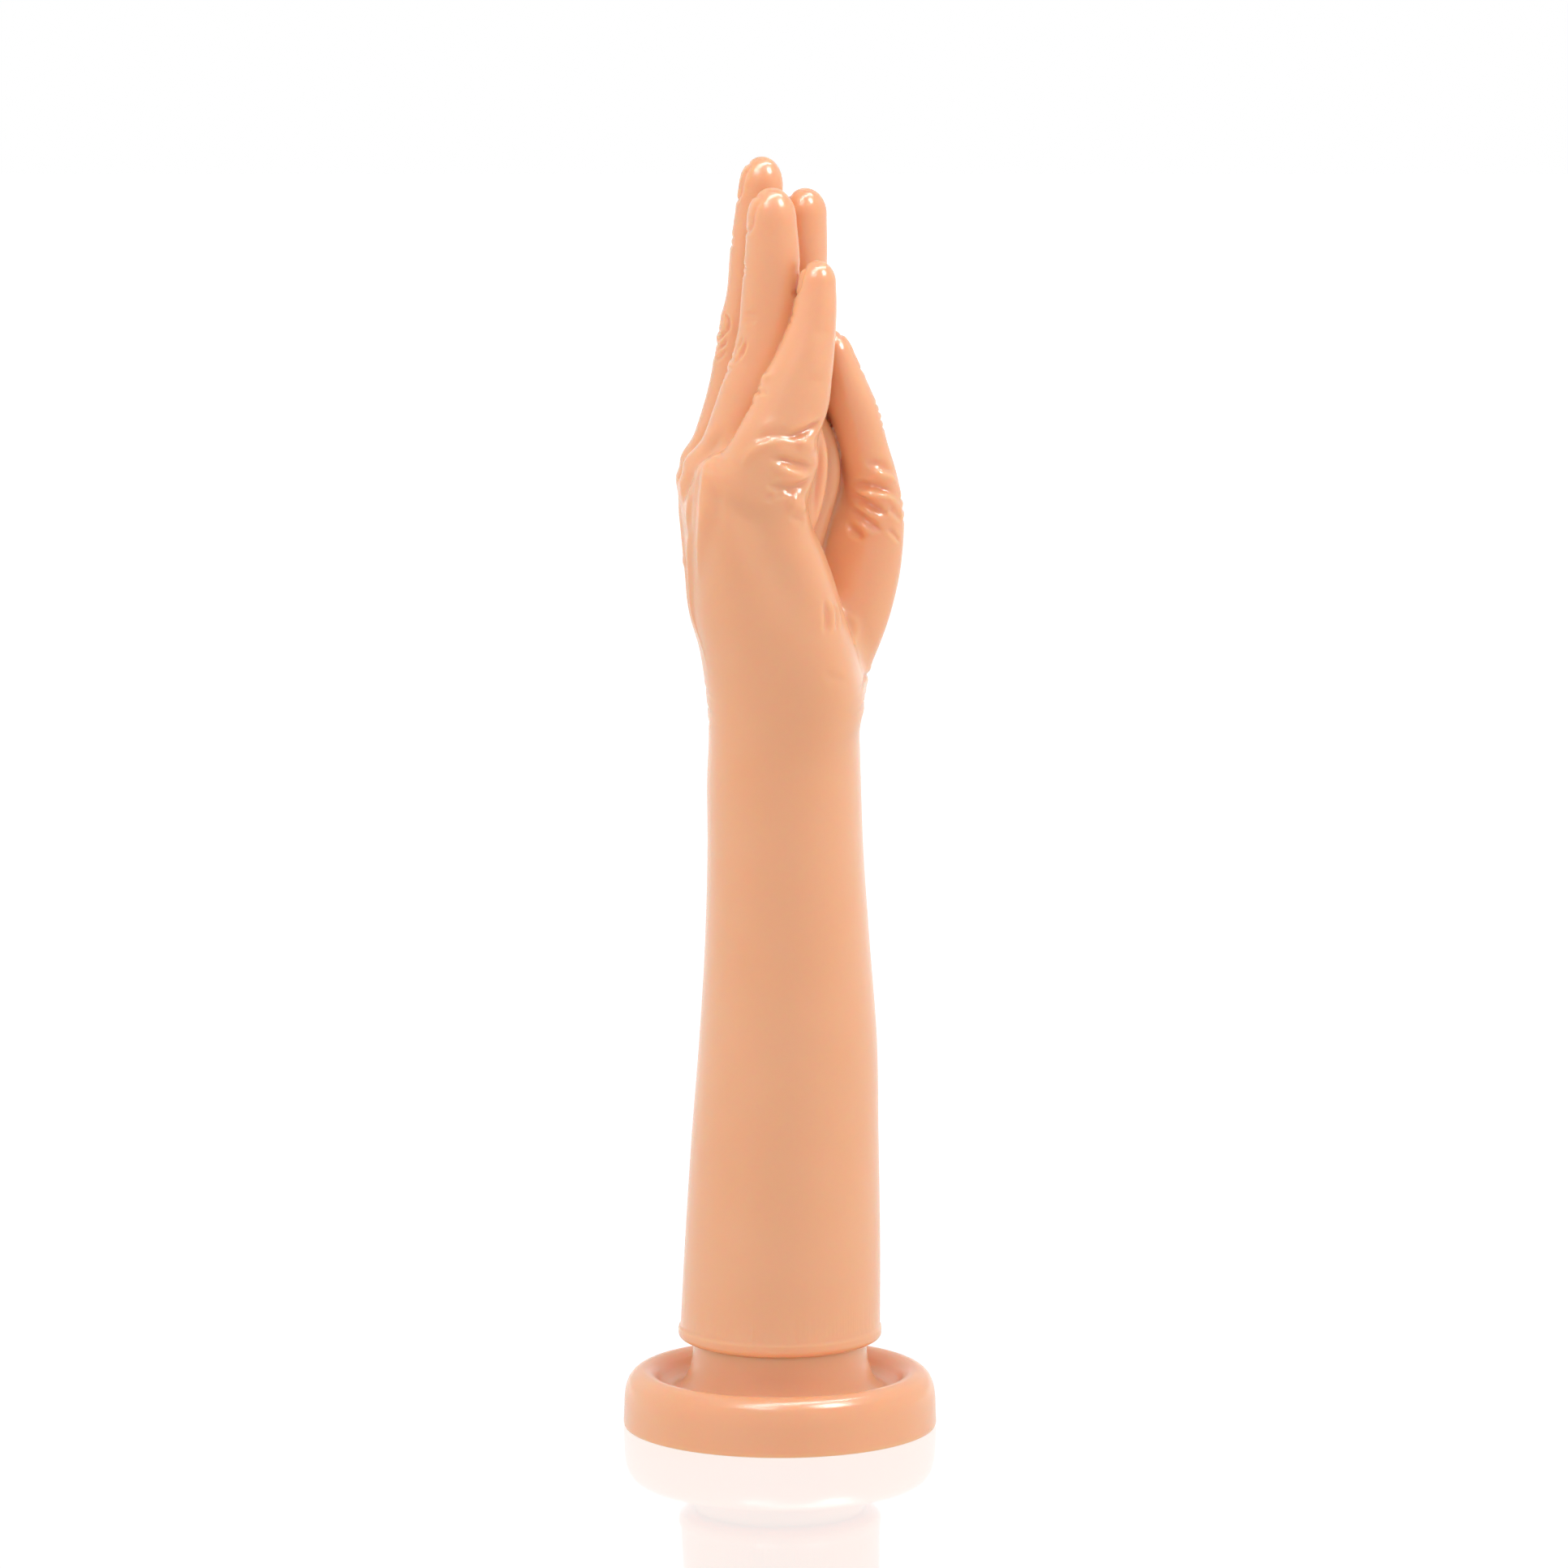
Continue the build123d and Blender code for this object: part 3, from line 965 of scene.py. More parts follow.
    # -- the skin
    def cast(self, mark: Mark) -> tuple[np.ndarray, np.ndarray]:
        """Throws a mark's line onto the skin.

        Each ray is walked in even steps until the field turns less than 0, and the place between the two
        steps is where a straight line between their values is 0.

        Args:
            mark: the mark.

        Returns:
            Places on the skin and normals there, one row for each point of the line that hits it.
        """
        starts, sight = mark.side.rays(mark.line())
        steps = np.arange(0.0, RAY_LENGTH, RAY_STEP)
        walk = starts[:, None] + sight[:, None] * steps[:, None]
        value = self.at(walk.reshape(-1, 3)).reshape(len(starts), -1)
        inside = value < 0
        hit = inside.any(1)
        first = np.maximum(inside.argmax(1), 1)
        row = np.arange(len(starts))
        before, after = value[row, first - 1], value[row, first]
        depth = steps[first - 1] + RAY_STEP * before / np.where(before == after, 1.0, before - after)
        spots = (starts + sight * depth[:, None])[hit]
        _, slope = self.slope(spots)
        return spots, unit(slope)

    def press(self, points: np.ndarray, normals: np.ndarray, mark: Mark) -> np.ndarray:
        """Works out how far a mark moves each vertex along its normal.

        With d the distance to the line, w the width and e how much of the depth is left so near the end,
        the skin moves by depth e (lips exp(-((d - LIPS_AT w)/w)^2) - exp(-(d/w)^2)). Skin that looks away
        from the way the skin under the line looks, as behind a thin edge, is left alone.

        Args:
            points: the vertices, in mm.
            normals: their unit normals.
            mark: the mark.

        Returns:
            Heights in mm.
        """
        height = np.zeros(len(points))
        spots, faces = self.cast(mark)
        if len(spots) < 3:
            return height
        reach = MARK_REACH * mark.width
        close = ((points > spots.min(0) - reach) & (points < spots.max(0) + reach)).all(1)
        near = points[close]
        best = np.full(len(near), np.inf)
        place = np.zeros(len(near))
        look = np.zeros((len(near), 3))
        for number, (start, end) in enumerate(zip(spots[:-1], spots[1:])):
            chord = end - start
            share = np.clip((near - start) @ chord / max(chord @ chord, TINY), 0, 1)
            apart = np.linalg.norm(near - start - share[:, None] * chord, axis=1)
            closer = apart < best
            best = np.where(closer, apart, best)
            place = np.where(closer, (number + share) / (len(spots) - 1), place)
            look[closer] = faces[number]
        left = smooth_step(0, MARK_FADE, place) * smooth_step(0, MARK_FADE, 1 - place)
        # The dot product says how far the skin here looks the same way as the skin under the line.
        left *= smooth_step(0.05, 0.55, (look * normals[close]).sum(1))
        width = mark.width * (END_WIDTH + (1 - END_WIDTH) * left)
        groove = np.exp(-((best / width) ** 2))
        lips = mark.lips * np.exp(-(((best - LIPS_AT * width) / width) ** 2))
        height[close] = mark.depth * left * (lips - groove)
        return height

    def marks(self) -> list[Mark]:
        """Lists every crease, wrinkle, tendon and knuckle.

        Returns:
            The marks of the little finger's side, then of the back, the palm and the thumb's side.
        """
        fingers = LITTLE_WRINKLES + RING_WRINKLES + MIDDLE_WRINKLES
        wrinkles = []
        for across, joint, width in MIDDLE_JOINTS:
            for over, share, depth in JOINT_WRINKLES:
                half, height = width * share, joint + over
                # A wrinkle bows away from the joint, by less the farther it is from it.
                bow = 0.9 * np.sign(over) * (1 - abs(over) / 8)
                ends, middle = height - bow, height + bow
                pairs = [(across + half * at, middle) for at in (-0.4, 0.4)]
                wrinkles.append((depth, 0.8, (across - half, ends), *pairs, (across + half, ends)))
        for across, joint, width in END_JOINTS:
            for over in (-1.5, 0.6):
                wrinkles.append((0.4, 0.8, *arc(across, width, joint + over, joint + over + 0.8)))
        # Knuckle domes, the hollows between the fingers' roots, and wrinkles over the thumb's two joints.
        knuckles = [(-0.6, 4.0, *arc(across, 3.5, 309, 311)) for across in (-24.3, -8.5, 9.5, 26.0)]
        webs = [(1.8, 3.0, (y, 323), (y, 309), (y * 0.96, 296)) for y in (-16.5, 0.5, 18.0)]
        thumb = [
            (depth, 0.7, *arc(6.5, 6.0, height - 0.6, height + 0.6))
            for height, depth in ((319.5, 0.3), (322, 0.5), (324.6, 0.5), (327, 0.3))
        ] + [
            (depth, 0.8, *arc(10.5, 7.5, height - 0.6, height + 0.8))
            for height, depth in ((289.5, 0.3), (293, 0.4), (296.4, 0.3))
        ]
        return [
            *drawn(Side.LITTLE_FINGER, PALM_EDGE),
            *drawn(Side.LITTLE_FINGER, METACARPALS, lips=0.0),
            *drawn(Side.LITTLE_FINGER, WRIST_HEEL + THUMB_FAN + PALM_HOLLOW + fingers),
            *drawn(Side.BACK, wrinkles),
            *drawn(Side.BACK, TENDONS),
            *drawn(Side.BACK, knuckles),
            *drawn(Side.BACK, webs, lips=0.0),
            *drawn(Side.BACK, VEINS + WRIST_BACK),
            *drawn(Side.PALM, WRIST_PALM),
            *drawn(Side.PALM, thumb),
            *drawn(Side.THUMB, THUMB_SIDE),
        ]

    def skin(self) -> tuple[np.ndarray, np.ndarray]:
        """Makes the closed skin, evens out its mesh, and draws its marks and nails.

        Returns:
            Vertices in mm, and quads.
        """
        lines, value = self.grid()
        points, quads = surface_net(lines, value)
        points, normals = self.settle(points, 2)
        for _ in range(2):
            points = even_out(points, quads, normals)
            points, normals = self.settle(points, 1)
        height = np.zeros(len(points))
        for mark in self.marks():
            height += self.press(points, normals, mark)
        digits = (self.little, self.ring, self.middle, self.index, self.thumb)
        for run, length in zip(digits, self.nails):
            low, high = run.box(margin=2.0)
            low[2] = run.table[-1, 2] - NAIL_ROOM
            close = ((points > low) & (points < high)).all(1)
            close[close] = run.distance(points[close]) < NAIL_CLOSE
            height[close] += Nail(length).rise(run, points[close])
        return points + height[:, None] * normals, quads


# ---- meshes -------------------------------------------------------------------------------------
def surface_net(lines: tuple[np.ndarray, ...], value: np.ndarray) -> tuple[np.ndarray, np.ndarray]:
    """Wraps a closed mesh of quads round where a field on a grid is less than 0.

    Every cell that the skin passes through gets one vertex, at the mean of the places where the field
    crosses 0 along the cell's edges. Every edge of the grid that the skin crosses gets one quad, between
    the four cells round it.

    Args:
        lines: the grid's three lines of coordinates.
        value: the field at the grid's points.

    Returns:
        Vertices, and quads that face outwards.
    """
    inside = value < 0
    shape = tuple(n - 1 for n in value.shape)
    corners = [np.array(c) for c in np.ndindex(2, 2, 2)]
    count = np.zeros(shape, np.uint8)
    for corner in corners:
        count += inside[tuple(slice(c, c + n) for c, n in zip(corner, shape))]
    cells = np.argwhere((count > 0) & (count < 8))
    number = np.full(shape, -1, np.int64)
    number[tuple(cells.T)] = np.arange(len(cells))

    total = np.zeros((len(cells), 3))
    hits = np.zeros(len(cells))
    for corner in corners:
        for axis in range(3):
            if corner[axis]:
                continue
            other = corner.copy()
            other[axis] = 1
            start = value[tuple((cells + corner).T)]
            end = value[tuple((cells + other).T)]
            crossed = (start < 0) != (end < 0)
            share = start[crossed] / (start[crossed] - end[crossed])
            place = np.stack([lines[k][cells[crossed, k] + corner[k]] for k in range(3)], -1)
            step = lines[axis][cells[crossed, axis] + 1] - lines[axis][cells[crossed, axis]]
            place[:, axis] += share * step
            total[crossed] += place
            hits[crossed] += 1
    points = total / hits[:, None]

    quads = []
    for axis in range(3):
        one, two = (axis + 1) % 3, (axis + 2) % 3
        lower = np.moveaxis(inside, axis, 0)[:-1]
        upper = np.moveaxis(inside, axis, 0)[1:]
        edges = np.argwhere(lower != upper)
        order = [axis] + [k for k in range(3) if k != axis]
        edge = np.empty_like(edges)
        edge[:, order] = edges
        outward = inside[tuple(edge.T)]
        around = []
        for back_one, back_two in ((1, 1), (0, 1), (0, 0), (1, 0)):
            cell = edge.copy()
            cell[:, one] -= back_one
            cell[:, two] -= back_two
            around.append(number[tuple(cell.T)])
        ring = np.stack(around, -1)
        quads.append(np.where(outward[:, None], ring, ring[:, ::-1]))
    return points, np.concatenate(quads)


def even_out(points: np.ndarray, quads: np.ndarray, normals: np.ndarray) -> np.ndarray:
    """Slides each vertex along the skin, half of the way to the mean of its neighbours.

    Args:
        points: the vertices.
        quads: the faces.
        normals: the vertices' unit normals.

    Returns:
        The vertices after the slide.
    """
    starts = quads.ravel()
    ends = np.roll(quads, -1, axis=1).ravel()
    degree = np.bincount(starts, minlength=len(points)) + np.bincount(ends, minlength=len(points))
    mean = np.empty_like(points)
    for k in range(3):
        mean[:, k] = np.bincount(starts, points[ends, k], len(points))
        mean[:, k] += np.bincount(ends, points[starts, k], len(points))
    move = mean / degree[:, None] - points
    move -= (move * normals).sum(1, keepdims=True) * normals
    return points + 0.5 * move


def mesh_object(name: str, points: np.ndarray, faces: np.ndarray) -> bpy.types.Object:
    """Puts vertices in mm and faces into a smooth-shaded object at the origin.

    Args:
        name: the object's name.
        points: rows of x, y, z in mm.
        faces: rows of vertex numbers, all of one length.

    Returns:
        The object, linked to the scene.
    """
    corners = faces.shape[1]
    mesh = bpy.data.meshes.new(name)
    mesh.vertices.add(len(points))
    mesh.vertices.foreach_set("co", (points * MM).astype(np.float32).ravel())
    mesh.loops.add(faces.size)
    mesh.loops.foreach_set("vertex_index", faces.astype(np.int32).ravel())
    mesh.polygons.add(len(faces))
    mesh.polygons.foreach_set("loop_start", np.arange(0, faces.size, corners, dtype=np.int32))
    mesh.update(calc_edges=True)
    mesh.validate()
    mesh.shade_smooth()
    piece = bpy.data.objects.new(name, mesh)
    bpy.context.scene.collection.objects.link(piece)
    return piece


def count_triangles(mesh: bpy.types.Mesh) -> int:
    """Counts the triangles that a mesh's faces make."""
    mesh.calc_loop_triangles()
    return len(mesh.loop_triangles)


def thin_out(piece: bpy.types.Object, triangles: int) -> None:
    """Merges the flattest faces until the piece has no more than so many triangles.

    Args:
        piece: the object, of triangles or quads, with nothing else on it.
        triangles: the most that it may have.
    """
    now = count_triangles(piece.data)
    if now <= triangles:
        return
    collapse = piece.modifiers.new("collapse", "DECIMATE")
    collapse.ratio = triangles / now
    graph = bpy.context.evaluated_depsgraph_get()
    mesh = bpy.data.meshes.new_from_object(piece.evaluated_get(graph))
    piece.modifiers.clear()
    piece.data = mesh
    mesh.shade_smooth()


def turned(name: str, profile: np.ndarray, around: int = 192) -> bpy.types.Object:
    """Turns a profile round the z axis.

    Args:
        name: the object's name.
        profile: rows of radius and height in mm, that start and end on the axis and run anticlockwise in
            the plane of x and z.
        around: how many steps round.

    Returns:
        The closed, smooth-shaded object.
    """
    angle = np.linspace(0, 2 * np.pi, around, endpoint=False)
    inner = profile[1:-1]
    rings = np.stack(
        [
            inner[:, :1] * np.cos(angle),
            inner[:, :1] * np.sin(angle),
            np.repeat(inner[:, 1:], around, axis=1),
        ],
        -1,
    )
    points = np.concatenate([rings.reshape(-1, 3), [[0, 0, profile[0, 1]], [0, 0, profile[-1, 1]]]])
    number = np.arange(len(inner) * around).reshape(len(inner), around)
    here, onward = number, np.roll(number, -1, axis=1)
    quads = np.stack([here[:-1], onward[:-1], onward[1:], here[1:]], -1).reshape(-1, 4)
    first, last = len(points) - 2, len(points) - 1
    fans = np.concatenate(
        [
            np.stack([onward[0], here[0], np.full(around, first)], -1),
            np.stack([here[-1], onward[-1], np.full(around, last)], -1),
        ]
    )
    triangles = np.concatenate([quads[:, [0, 1, 2]], quads[:, [0, 2, 3]], fans])
    return mesh_object(name, points, triangles)


@dataclass
class SuctionBase:
    """The suction base: a cup with a rolled rim, a dish inside the rim, and a neck for the foot.

    Attributes:
        radius: of the outer wall at the floor, in mm.
        neck_top: height of the neck.
        rim_height: height of the rolled rim.
        cup_depth: height of the hollow underneath, at its middle.
        bore: radius of the hole that the plug stands in.
        pocket: radius of the pocket round the plug's flange, and pocket_low and pocket_high its heights.
    """

    radius: float
    neck_top: float
    rim_height: float = 18.2
    cup_depth: float = 3.6
    bore: float = 15.55
    pocket: float = 23.05
    pocket_low: float = 9.95
    pocket_high: float = 14.05

    def outer(self) -> Pairs:
        """Lists knots of the skin, from the seal on the floor up over the rim and the dish to the neck.

        Returns:
            Rows of radius and height in mm.
        """
        wall, top, neck = self.radius, self.rim_height, self.neck_top
        return (
            (wall - 5.8, 0.0),
            (wall - 3.4, 0.0),
            (wall - 0.9, 0.0),
            (wall - 0.25, 0.25),
            (wall, 0.9),
            (wall, 2.6),
            (wall - 0.12, 6.0),
            (wall - 0.3, 9.6),
            (wall - 0.75, 12.6),
            (wall - 1.9, 15.4),
            (wall - 3.8, 17.3),
            (wall - 6.3, top),
            (wall - 8.6, top - 0.6),
            (wall - 10.4, top - 2.1),
            (wall - 11.8, top - 4.2),
            (wall - 13.5, 12.5),
            (wall - 15.4, 11.9),
            (wall - 17.0, 12.3),
            (wall - 18.6, 13.6),
            (wall - 19.9, 15.6),
            (wall - 21.0, 18.4),
            (wall - 21.8, 21.4),
            (wall - 22.3, neck - 2.4),
            (wall - 22.5, neck - 0.8),
            (wall - 22.75, neck - 0.2),
            (wall - 23.3, neck),
            (wall - 25.0, neck),
            (self.bore + 2.0, neck),
            (self.bore, neck),
        )

    def profile(self) -> np.ndarray:
        """Runs a smooth line through the outer knots and adds the bore, the pocket and the cup below.

        The hollow of the cup falls from cup_depth by the square of the share of the way out to the seal.

        Returns:
            Rows of radius and height in mm, from the axis in the cup round to the axis in the pocket.
        """
        knots = np.array(self.outer())
        marks = np.concatenate([[0.0], np.cumsum(np.linalg.norm(np.diff(knots, axis=0), axis=1))])
        fine = np.unique(np.concatenate([marks, np.arange(0, marks[-1], 0.8)]))
        skin = smooth_curve(marks, knots, fine)[0]
        skin[:, 1] = np.clip(skin[:, 1], 0.0, self.neck_top)
        share = np.linspace(0, 1, 24)
        cup = np.stack([share * knots[0, 0], self.cup_depth * (1 - share**2)], -1)
        inside = [
            (self.bore, self.pocket_high),
            (self.pocket, self.pocket_high),
            (self.pocket, self.pocket_low),
            (0.0, self.pocket_low),
        ]
        return np.concatenate([cup[:-1], skin, inside])

    def build(self, finish: bpy.types.Material) -> bpy.types.Object:
        """Builds the base and dresses it.

        Args:
            finish: its material.

        Returns:
            The finished piece.
        """
        piece = turned("suction_base_moulding", self.profile())
        piece.data.materials.append(finish)
        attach(piece, "base")
        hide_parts("suction_base")
        log.info("suction base: %d triangles", count_triangles(piece.data))
        return piece


# ---- finishes -----------------------------------------------------------------------------------
def linear(hex_colour: str) -> tuple[float, float, float, float]:
    """Turns an sRGB hex colour to linear light.

    Each channel c is c / 12.92 up to 0.04045, and ((c + 0.055) / 1.055)^2.4 over that.

    Args:
        hex_colour: six digits, such as "e8a87c".

    Returns:
        Red, green, blue and alpha.
    """
    channels = [int(hex_colour[k : k + 2], 16) / 255 for k in (0, 2, 4)]
    straight = [c / 12.92 if c <= 0.04045 else ((c + 0.055) / 1.055) ** 2.4 for c in channels]
    return (*straight, 1.0)


def add_node(tree: bpy.types.NodeTree, kind: str, settings: dict, links: dict) -> bpy.types.Node:
    """Adds a shader node.

    Args:
        tree: the material's node tree.
        kind: the node's type name.
        settings: values by property name, input name or input number.
        links: output sockets by the name or number of the input that each goes to.

    Returns:
        The node.
    """
    node = tree.nodes.new(kind)
    for name, value in settings.items():
        if isinstance(name, int) or (name in node.inputs and not hasattr(node, name)):
            node.inputs[name].default_value = value
        else:
            setattr(node, name, value)
    for name, socket in links.items():
        tree.links.new(socket, node.inputs[name])
    return node


def spots_per_metre(size: float) -> float:
    """Turns the size of a noise pattern's spots, in mm, to the pattern's scale in metres."""
    return 1.0 / (size * MM)


@dataclass(frozen=True)
class Moulded:
    """A moulded plastic, with the fine texture of its mould pressed into the skin.

    Attributes:
        name: the material's name.
        pigment: its colour.
        roughness: of the skin.
        ior: the plastic's refractive index.
        grain: size of the mould's texture, in mm.
        relief: height of the texture, in mm.
        strength: share of the relief that shows.
        detail: how many finer layers the texture has.
    """

    name: str
    pigment: str
    roughness: float
    ior: float
    grain: float
    relief: float
    strength: float
    detail: float

    def colour(self, shader: bpy.types.Node, tree: bpy.types.NodeTree, place: bpy.types.NodeSocket) -> None:
        """Gives the shader one even pigment."""
        shader.inputs["Base Color"].default_value = linear(self.pigment)

    def material(self) -> bpy.types.Material:
        """Builds the material.

        Returns:
            The material, whose patterns are fixed to the piece.
        """
        made = bpy.data.materials.new(self.name)
        made.use_nodes = True
        tree = made.node_tree
        tree.nodes.clear()
        place = add_node(tree, "ShaderNodeTexCoord", {}, {}).outputs["Object"]
        texture = {"Scale": spots_per_metre(self.grain), "Detail": self.detail}
        grain = add_node(tree, "ShaderNodeTexNoise", texture, {"Vector": place})
        relief = {"Strength": self.strength, "Distance": self.relief * MM}
        bump = add_node(tree, "ShaderNodeBump", relief, {"Height": grain.outputs["Fac"]})
        skin = {"Roughness": self.roughness, "IOR": self.ior}
        shader = add_node(tree, "ShaderNodeBsdfPrincipled", skin, {"Normal": bump.outputs["Normal"]})
        self.colour(shader, tree, place)
        add_node(tree, "ShaderNodeOutputMaterial", {}, {"Surface": shader.outputs["BSDF"]})
        return made


@dataclass(frozen=True)
class SoftVinyl(Moulded):
    """A moulded plastic that light goes into, with a faint marbling of two pigments.

    Attributes:
        second_pigment: the other end of the marbling.
        patch: size of the marbling's patches, in mm.
        light_depth: how far red light goes in, in mm.
        share_depth: how far red, green and blue light go in, as shares of light_depth.
    """

    second_pigment: str
    patch: float
    light_depth: float
    share_depth: tuple[float, float, float]

    def colour(self, shader: bpy.types.Node, tree: bpy.types.NodeTree, place: bpy.types.NodeSocket) -> None:
        """Gives the shader the marbling, and lets light into it.

        Args:
            shader: the material's shader.
            tree: its node tree.
            place: the place on the piece.
        """
        marbling = {"Scale": spots_per_metre(self.patch), "Detail": 2.0}
        cloud = add_node(tree, "ShaderNodeTexNoise", marbling, {"Vector": place})
        # A colour mix has its factor at input 0, and its two colours at 6 and 7.
        pigments = {"data_type": "RGBA", 6: linear(self.pigment), 7: linear(self.second_pigment)}
        mixed = add_node(tree, "ShaderNodeMix", pigments, {0: cloud.outputs["Fac"]})
        tree.links.new(mixed.outputs[2], shader.inputs["Base Color"])
        shader.inputs["Subsurface Weight"].default_value = 1.0
        shader.inputs["Subsurface Radius"].default_value = self.share_depth
        shader.inputs["Subsurface Scale"].default_value = self.light_depth * MM


# Plasticised PVC, poured and cured in a polished mould. It is waxy: light goes millimetres in and comes back
# warm, so edges glow and creases stay soft. The mould leaves a satin skin with broad highlights, and the
# pigment is a little uneven. The mould's true grain is too fine to show, so it is drawn 1.1 mm coarse.
SOFT_PVC = SoftVinyl(
    name="soft_pvc_moulded_satin",
    pigment="eeb68e",
    roughness=0.24,
    ior=1.53,
    grain=1.1111,
    relief=0.3,
    strength=0.08,
    detail=3.0,
    second_pigment="eaab7f",
    patch=45.4545,
    light_depth=7.0,
    share_depth=(1.0, 0.39, 0.19),
)
# Hard ABS, injection moulded. It is opaque and even, with a finer, duller sheen than the vinyl over it, which
# tells the eye that the plug is another, harder stuff.
HARD_ABS = Moulded(
    name="abs_moulded_satin",
    pigment="d9a27c",
    roughness=0.38,
    ior=1.54,
    grain=0.66667,
    relief=0.2,
    strength=0.1,
    detail=2.0,
)


# ---- studio -------------------------------------------------------------------------------------
def look_at(thing: bpy.types.Object, place: tuple, target: tuple) -> None:
    """Stands a light or a camera at a place, turned to look at a target.

    Args:
        thing: the light or camera.
        place: where it stands, in metres.
        target: what it looks at.
    """
    bpy.context.scene.collection.objects.link(thing)
    thing.location = place
    towards = Vector(target) - Vector(place)
    thing.rotation_euler = towards.to_track_quat("-Z", "Y").to_euler()


@dataclass(frozen=True)
class SoftBox:
    """A rectangular soft light.

    Attributes:
        name: the light's name.
        place: where it stands, in metres.
        size: its width and height.
        power: in watts.
        shines: whether it only makes highlights; if not, it only lights the flesh itself.
    """

    name: str
    place: tuple[float, float, float]
    size: tuple[float, float]
    power: float
    shines: bool

    def build(self, target: tuple) -> None:
        """Adds the light.

        Args:
            target: what it looks at.
        """
        light = bpy.data.lights.new(self.name, "AREA")
        light.shape = "RECTANGLE"
        light.size, light.size_y = self.size
        light.energy = self.power
        lamp = bpy.data.objects.new(self.name, light)
        lamp.visible_glossy = self.shines
        lamp.visible_diffuse = not self.shines
        look_at(lamp, self.place, target)


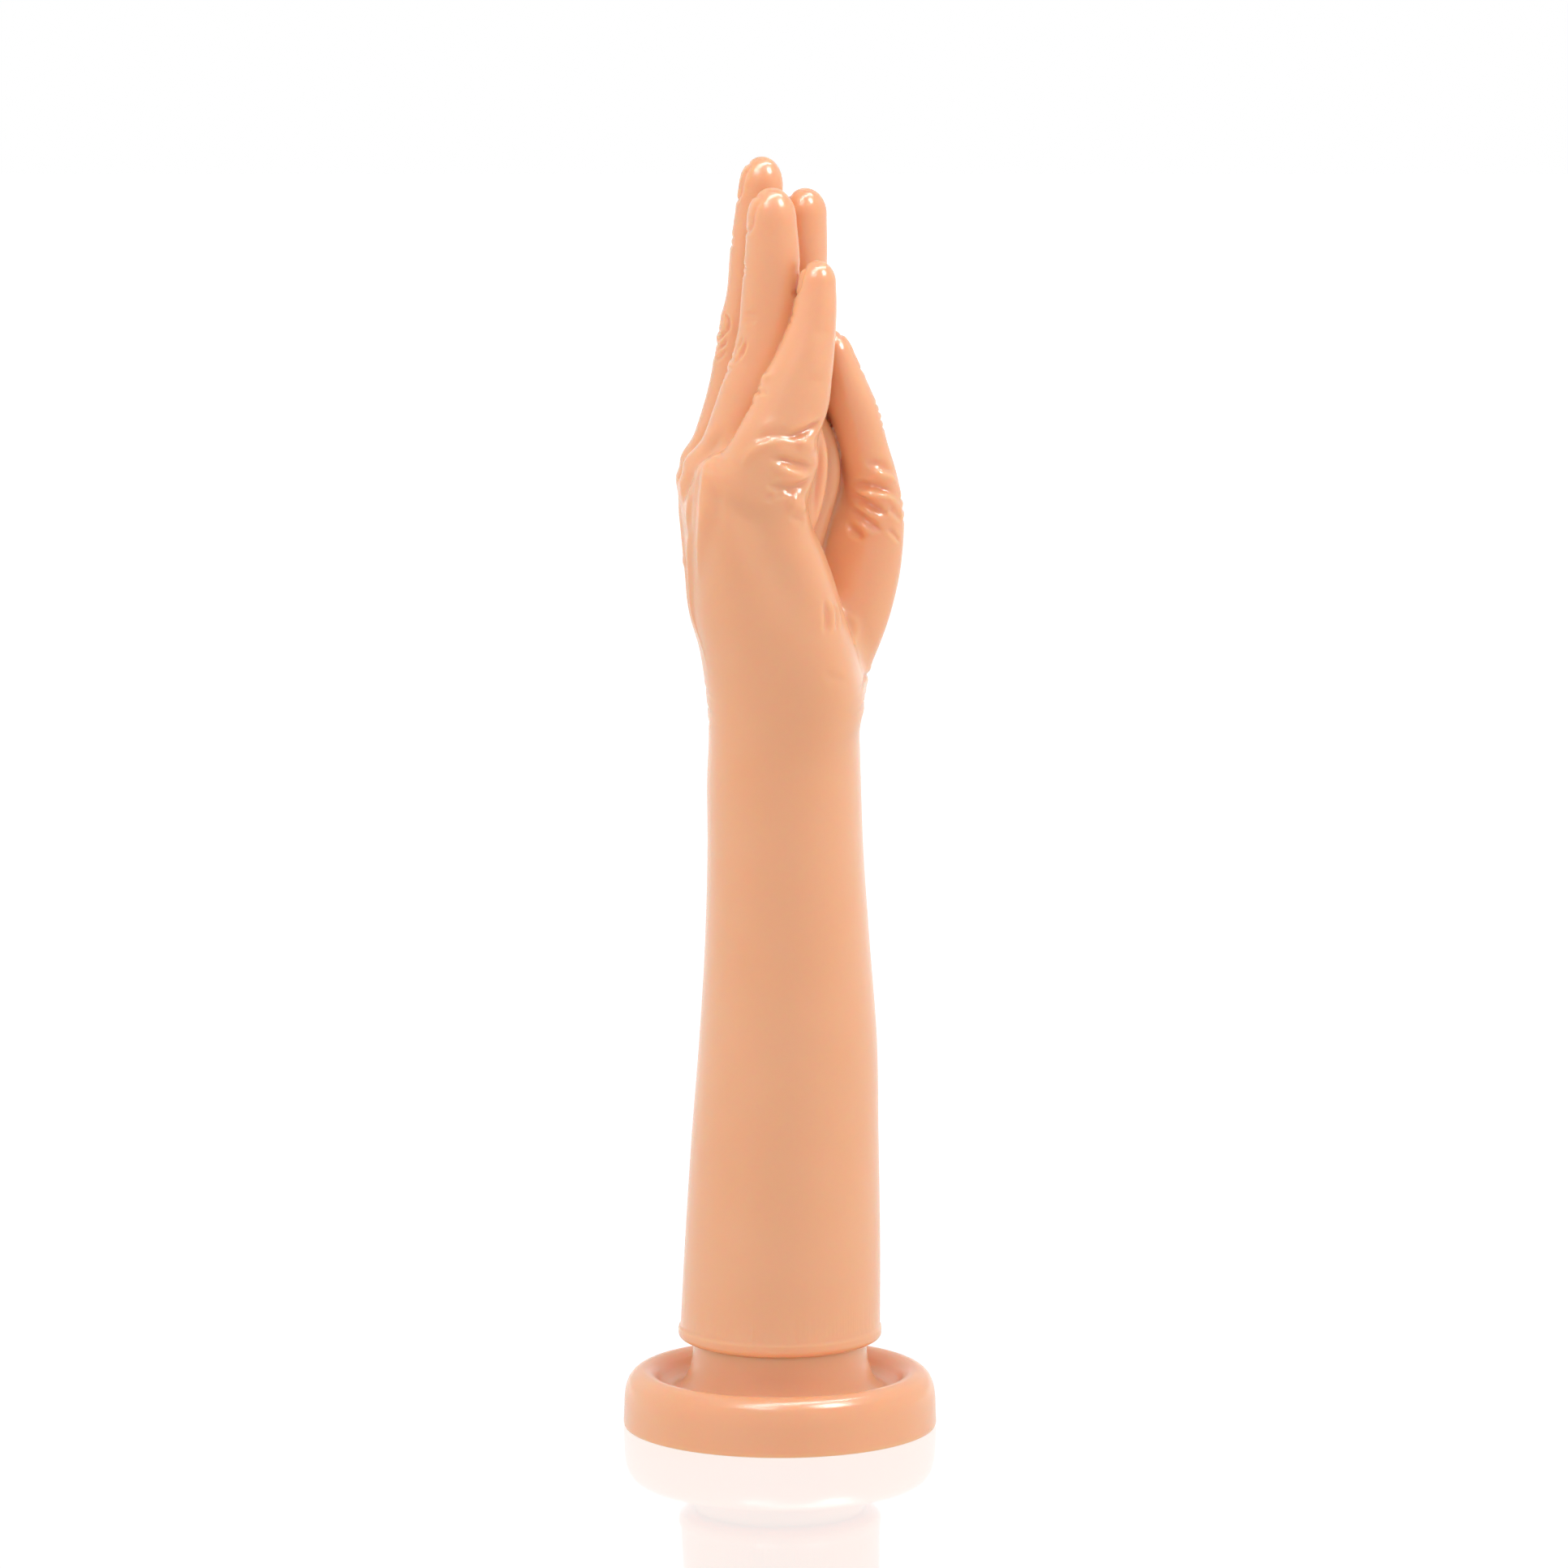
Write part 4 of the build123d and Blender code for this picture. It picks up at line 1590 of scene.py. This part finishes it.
@dataclass(frozen=True)
class Studio:
    """A pale floor, a white backdrop, soft boxes and the camera.

    Attributes:
        camera_height: over the floor, in metres; camera_distance is from the object.
        aim_height: height of the middle of the view.
        aside: how far right of the object's axis the camera stands and looks.
        lens: focal length in mm, and sensor is the film's width.
        far_clip: how far the camera sees.
        half_floor: half of the floor's width.
        backdrop: brightness of the backdrop, and ambient is how much of it falls on the object.
        boxes: the soft lights.
    """

    camera_height: float = 0.566
    camera_distance: float = 2.5
    aim_height: float = 0.207
    aside: float = 0.0013
    lens: float = 183.1
    sensor: float = 36.0
    far_clip: float = 50.0
    half_floor: float = 6.0
    backdrop: float = 1.0
    ambient: float = 0.5
    boxes: tuple[SoftBox, ...] = (
        SoftBox("left_fill", (-1.4, 0.15, 0.5), (0.5, 1.2), 5.2, shines=False),
        SoftBox("right_fill", (1.4, 0.1, 0.5), (0.5, 1.2), 7.6, shines=False),
        SoftBox("front_fill", (-0.2, -2.3, 0.8), (1.2, 1.2), 9.0, shines=False),
        SoftBox("top_fill", (0.0, -0.3, 1.5), (1.2, 0.6), 7.5, shines=False),
        SoftBox("top_strip", (0.1, -0.12, 1.5), (1.7, 0.22), 19.0, shines=True),
        SoftBox("left_square", (-0.3, -0.85, 1.4), (0.45, 0.45), 5.0, shines=True),
        SoftBox("right_square", (0.7, -0.4, 1.3), (0.4, 0.4), 15.0, shines=True),
    )

    def build(self) -> None:
        """Makes everything that isn't the object."""
        self.floor()
        self.world()
        bpy.context.scene.view_settings.view_transform = "Standard"
        for box in self.boxes:
            box.build((0, 0, self.aim_height))
        self.camera()

    def floor(self) -> None:
        """Lays the floor.

        It is a sheet of white acrylic, lit from inside. It gives the eye an almost white ground with no
        shadow, and its polished face shows a faint mirror image of the base.
        """
        half = self.half_floor
        mesh = bpy.data.meshes.new("floor")
        corners = [(-half, -half, 0), (half, -half, 0), (half, half, 0), (-half, half, 0)]
        mesh.from_pydata(corners, [], [(0, 1, 2, 3)])
        floor = bpy.data.objects.new("floor", mesh)
        bpy.context.scene.collection.objects.link(floor)
        acrylic = bpy.data.materials.new("white_acrylic_sheet")
        acrylic.use_nodes = True
        tree = acrylic.node_tree
        tree.nodes.clear()
        sheet = {
            "Base Color": linear("5a5a5a"),
            "IOR": 1.45,
            "Roughness": 0.05,
            "Emission Color": linear("ffffff"),
            "Emission Strength": 0.7,
        }
        shader = add_node(tree, "ShaderNodeBsdfPrincipled", sheet, {})
        add_node(tree, "ShaderNodeOutputMaterial", {}, {"Surface": shader.outputs["BSDF"]})
        mesh.materials.append(acrylic)

    def world(self) -> None:
        """Hangs the white backdrop all round, which lights the object less brightly than it looks."""
        world = bpy.data.worlds.new("studio")
        world.use_nodes = True
        tree = world.node_tree
        tree.nodes.clear()
        white, soft = (
            add_node(tree, "ShaderNodeBackground", {"Color": linear("ffffff"), "Strength": power}, {})
            for power in (self.backdrop, self.ambient)
        )
        path = add_node(tree, "ShaderNodeLightPath", {}, {})
        ends = {"Fac": path.outputs["Is Diffuse Ray"], 1: white.outputs[0], 2: soft.outputs[0]}
        mixed = add_node(tree, "ShaderNodeMixShader", {}, ends)
        add_node(tree, "ShaderNodeOutputWorld", {}, {"Surface": mixed.outputs[0]})
        bpy.context.scene.world = world

    def camera(self) -> None:
        """Adds the camera, higher than the fingertips and far off, with a long lens."""
        data = bpy.data.cameras.new("camera")
        data.sensor_width = self.sensor
        data.lens = self.lens
        data.clip_end = self.far_clip
        camera = bpy.data.objects.new("camera", data)
        place = (self.aside, -self.camera_distance, self.camera_height)
        look_at(camera, place, (self.aside, 0, self.aim_height))
        bpy.context.scene.camera = camera


# ---- putting it together ------------------------------------------------------------------------
def millimetres(node: str) -> tuple[np.ndarray, np.ndarray]:
    """Gives a node's lowest and highest corners in mm."""
    low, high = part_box(node)
    return np.array(low) / MM, np.array(high) / MM


def build_hand(finish: bpy.types.Material) -> bpy.types.Object:
    """Builds the hand and forearm round the plug, and dresses it.

    The socket is a little wider than the plug, goes 2 mm over its tip, and tapers by 2 mm in 58 mm.

    Args:
        finish: its material.

    Returns:
        The finished piece.
    """
    arm_low, arm_high = millimetres("arm_and_hand")
    _, plug_high = millimetres("taper_plug")
    hand = Hand(
        foot_z=float(arm_low[2]),
        tip_z=float(arm_high[2]),
        socket_top=float(plug_high[2]) + 2.0,
        mouth=14.75,
        taper=2.0 / 58.0,
    )
    points, quads = hand.skin()
    piece = mesh_object("hand_and_forearm", points, quads)
    thin_out(piece, MOST_TRIANGLES)
    piece.data.materials.append(finish)
    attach(piece, "arm")
    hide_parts("arm_and_hand")
    log.info("hand and forearm: %d of %d triangles", count_triangles(piece.data), 2 * len(quads))
    return piece


def dress(node: str, finish: bpy.types.Material) -> None:
    """Gives one of the frame's own parts its finish.

    Args:
        node: the part's name.
        finish: its material.
    """
    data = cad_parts[node].data
    data.materials.clear()
    data.materials.append(finish)
    log.info("%s: %d triangles, finish %s", node, count_triangles(data), finish.name)


def main() -> None:
    """Builds every piece in order."""
    logging.basicConfig(level=logging.INFO, format="%(name)s: %(message)s")
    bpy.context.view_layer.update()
    vinyl = SOFT_PVC.material()
    build_hand(vinyl)
    _, base_high = millimetres("suction_base")
    SuctionBase(radius=float(base_high[0]), neck_top=float(base_high[2])).build(vinyl)
    dress("taper_plug", HARD_ABS.material())
    Studio().build()


if __name__ == "__main__":
    main()
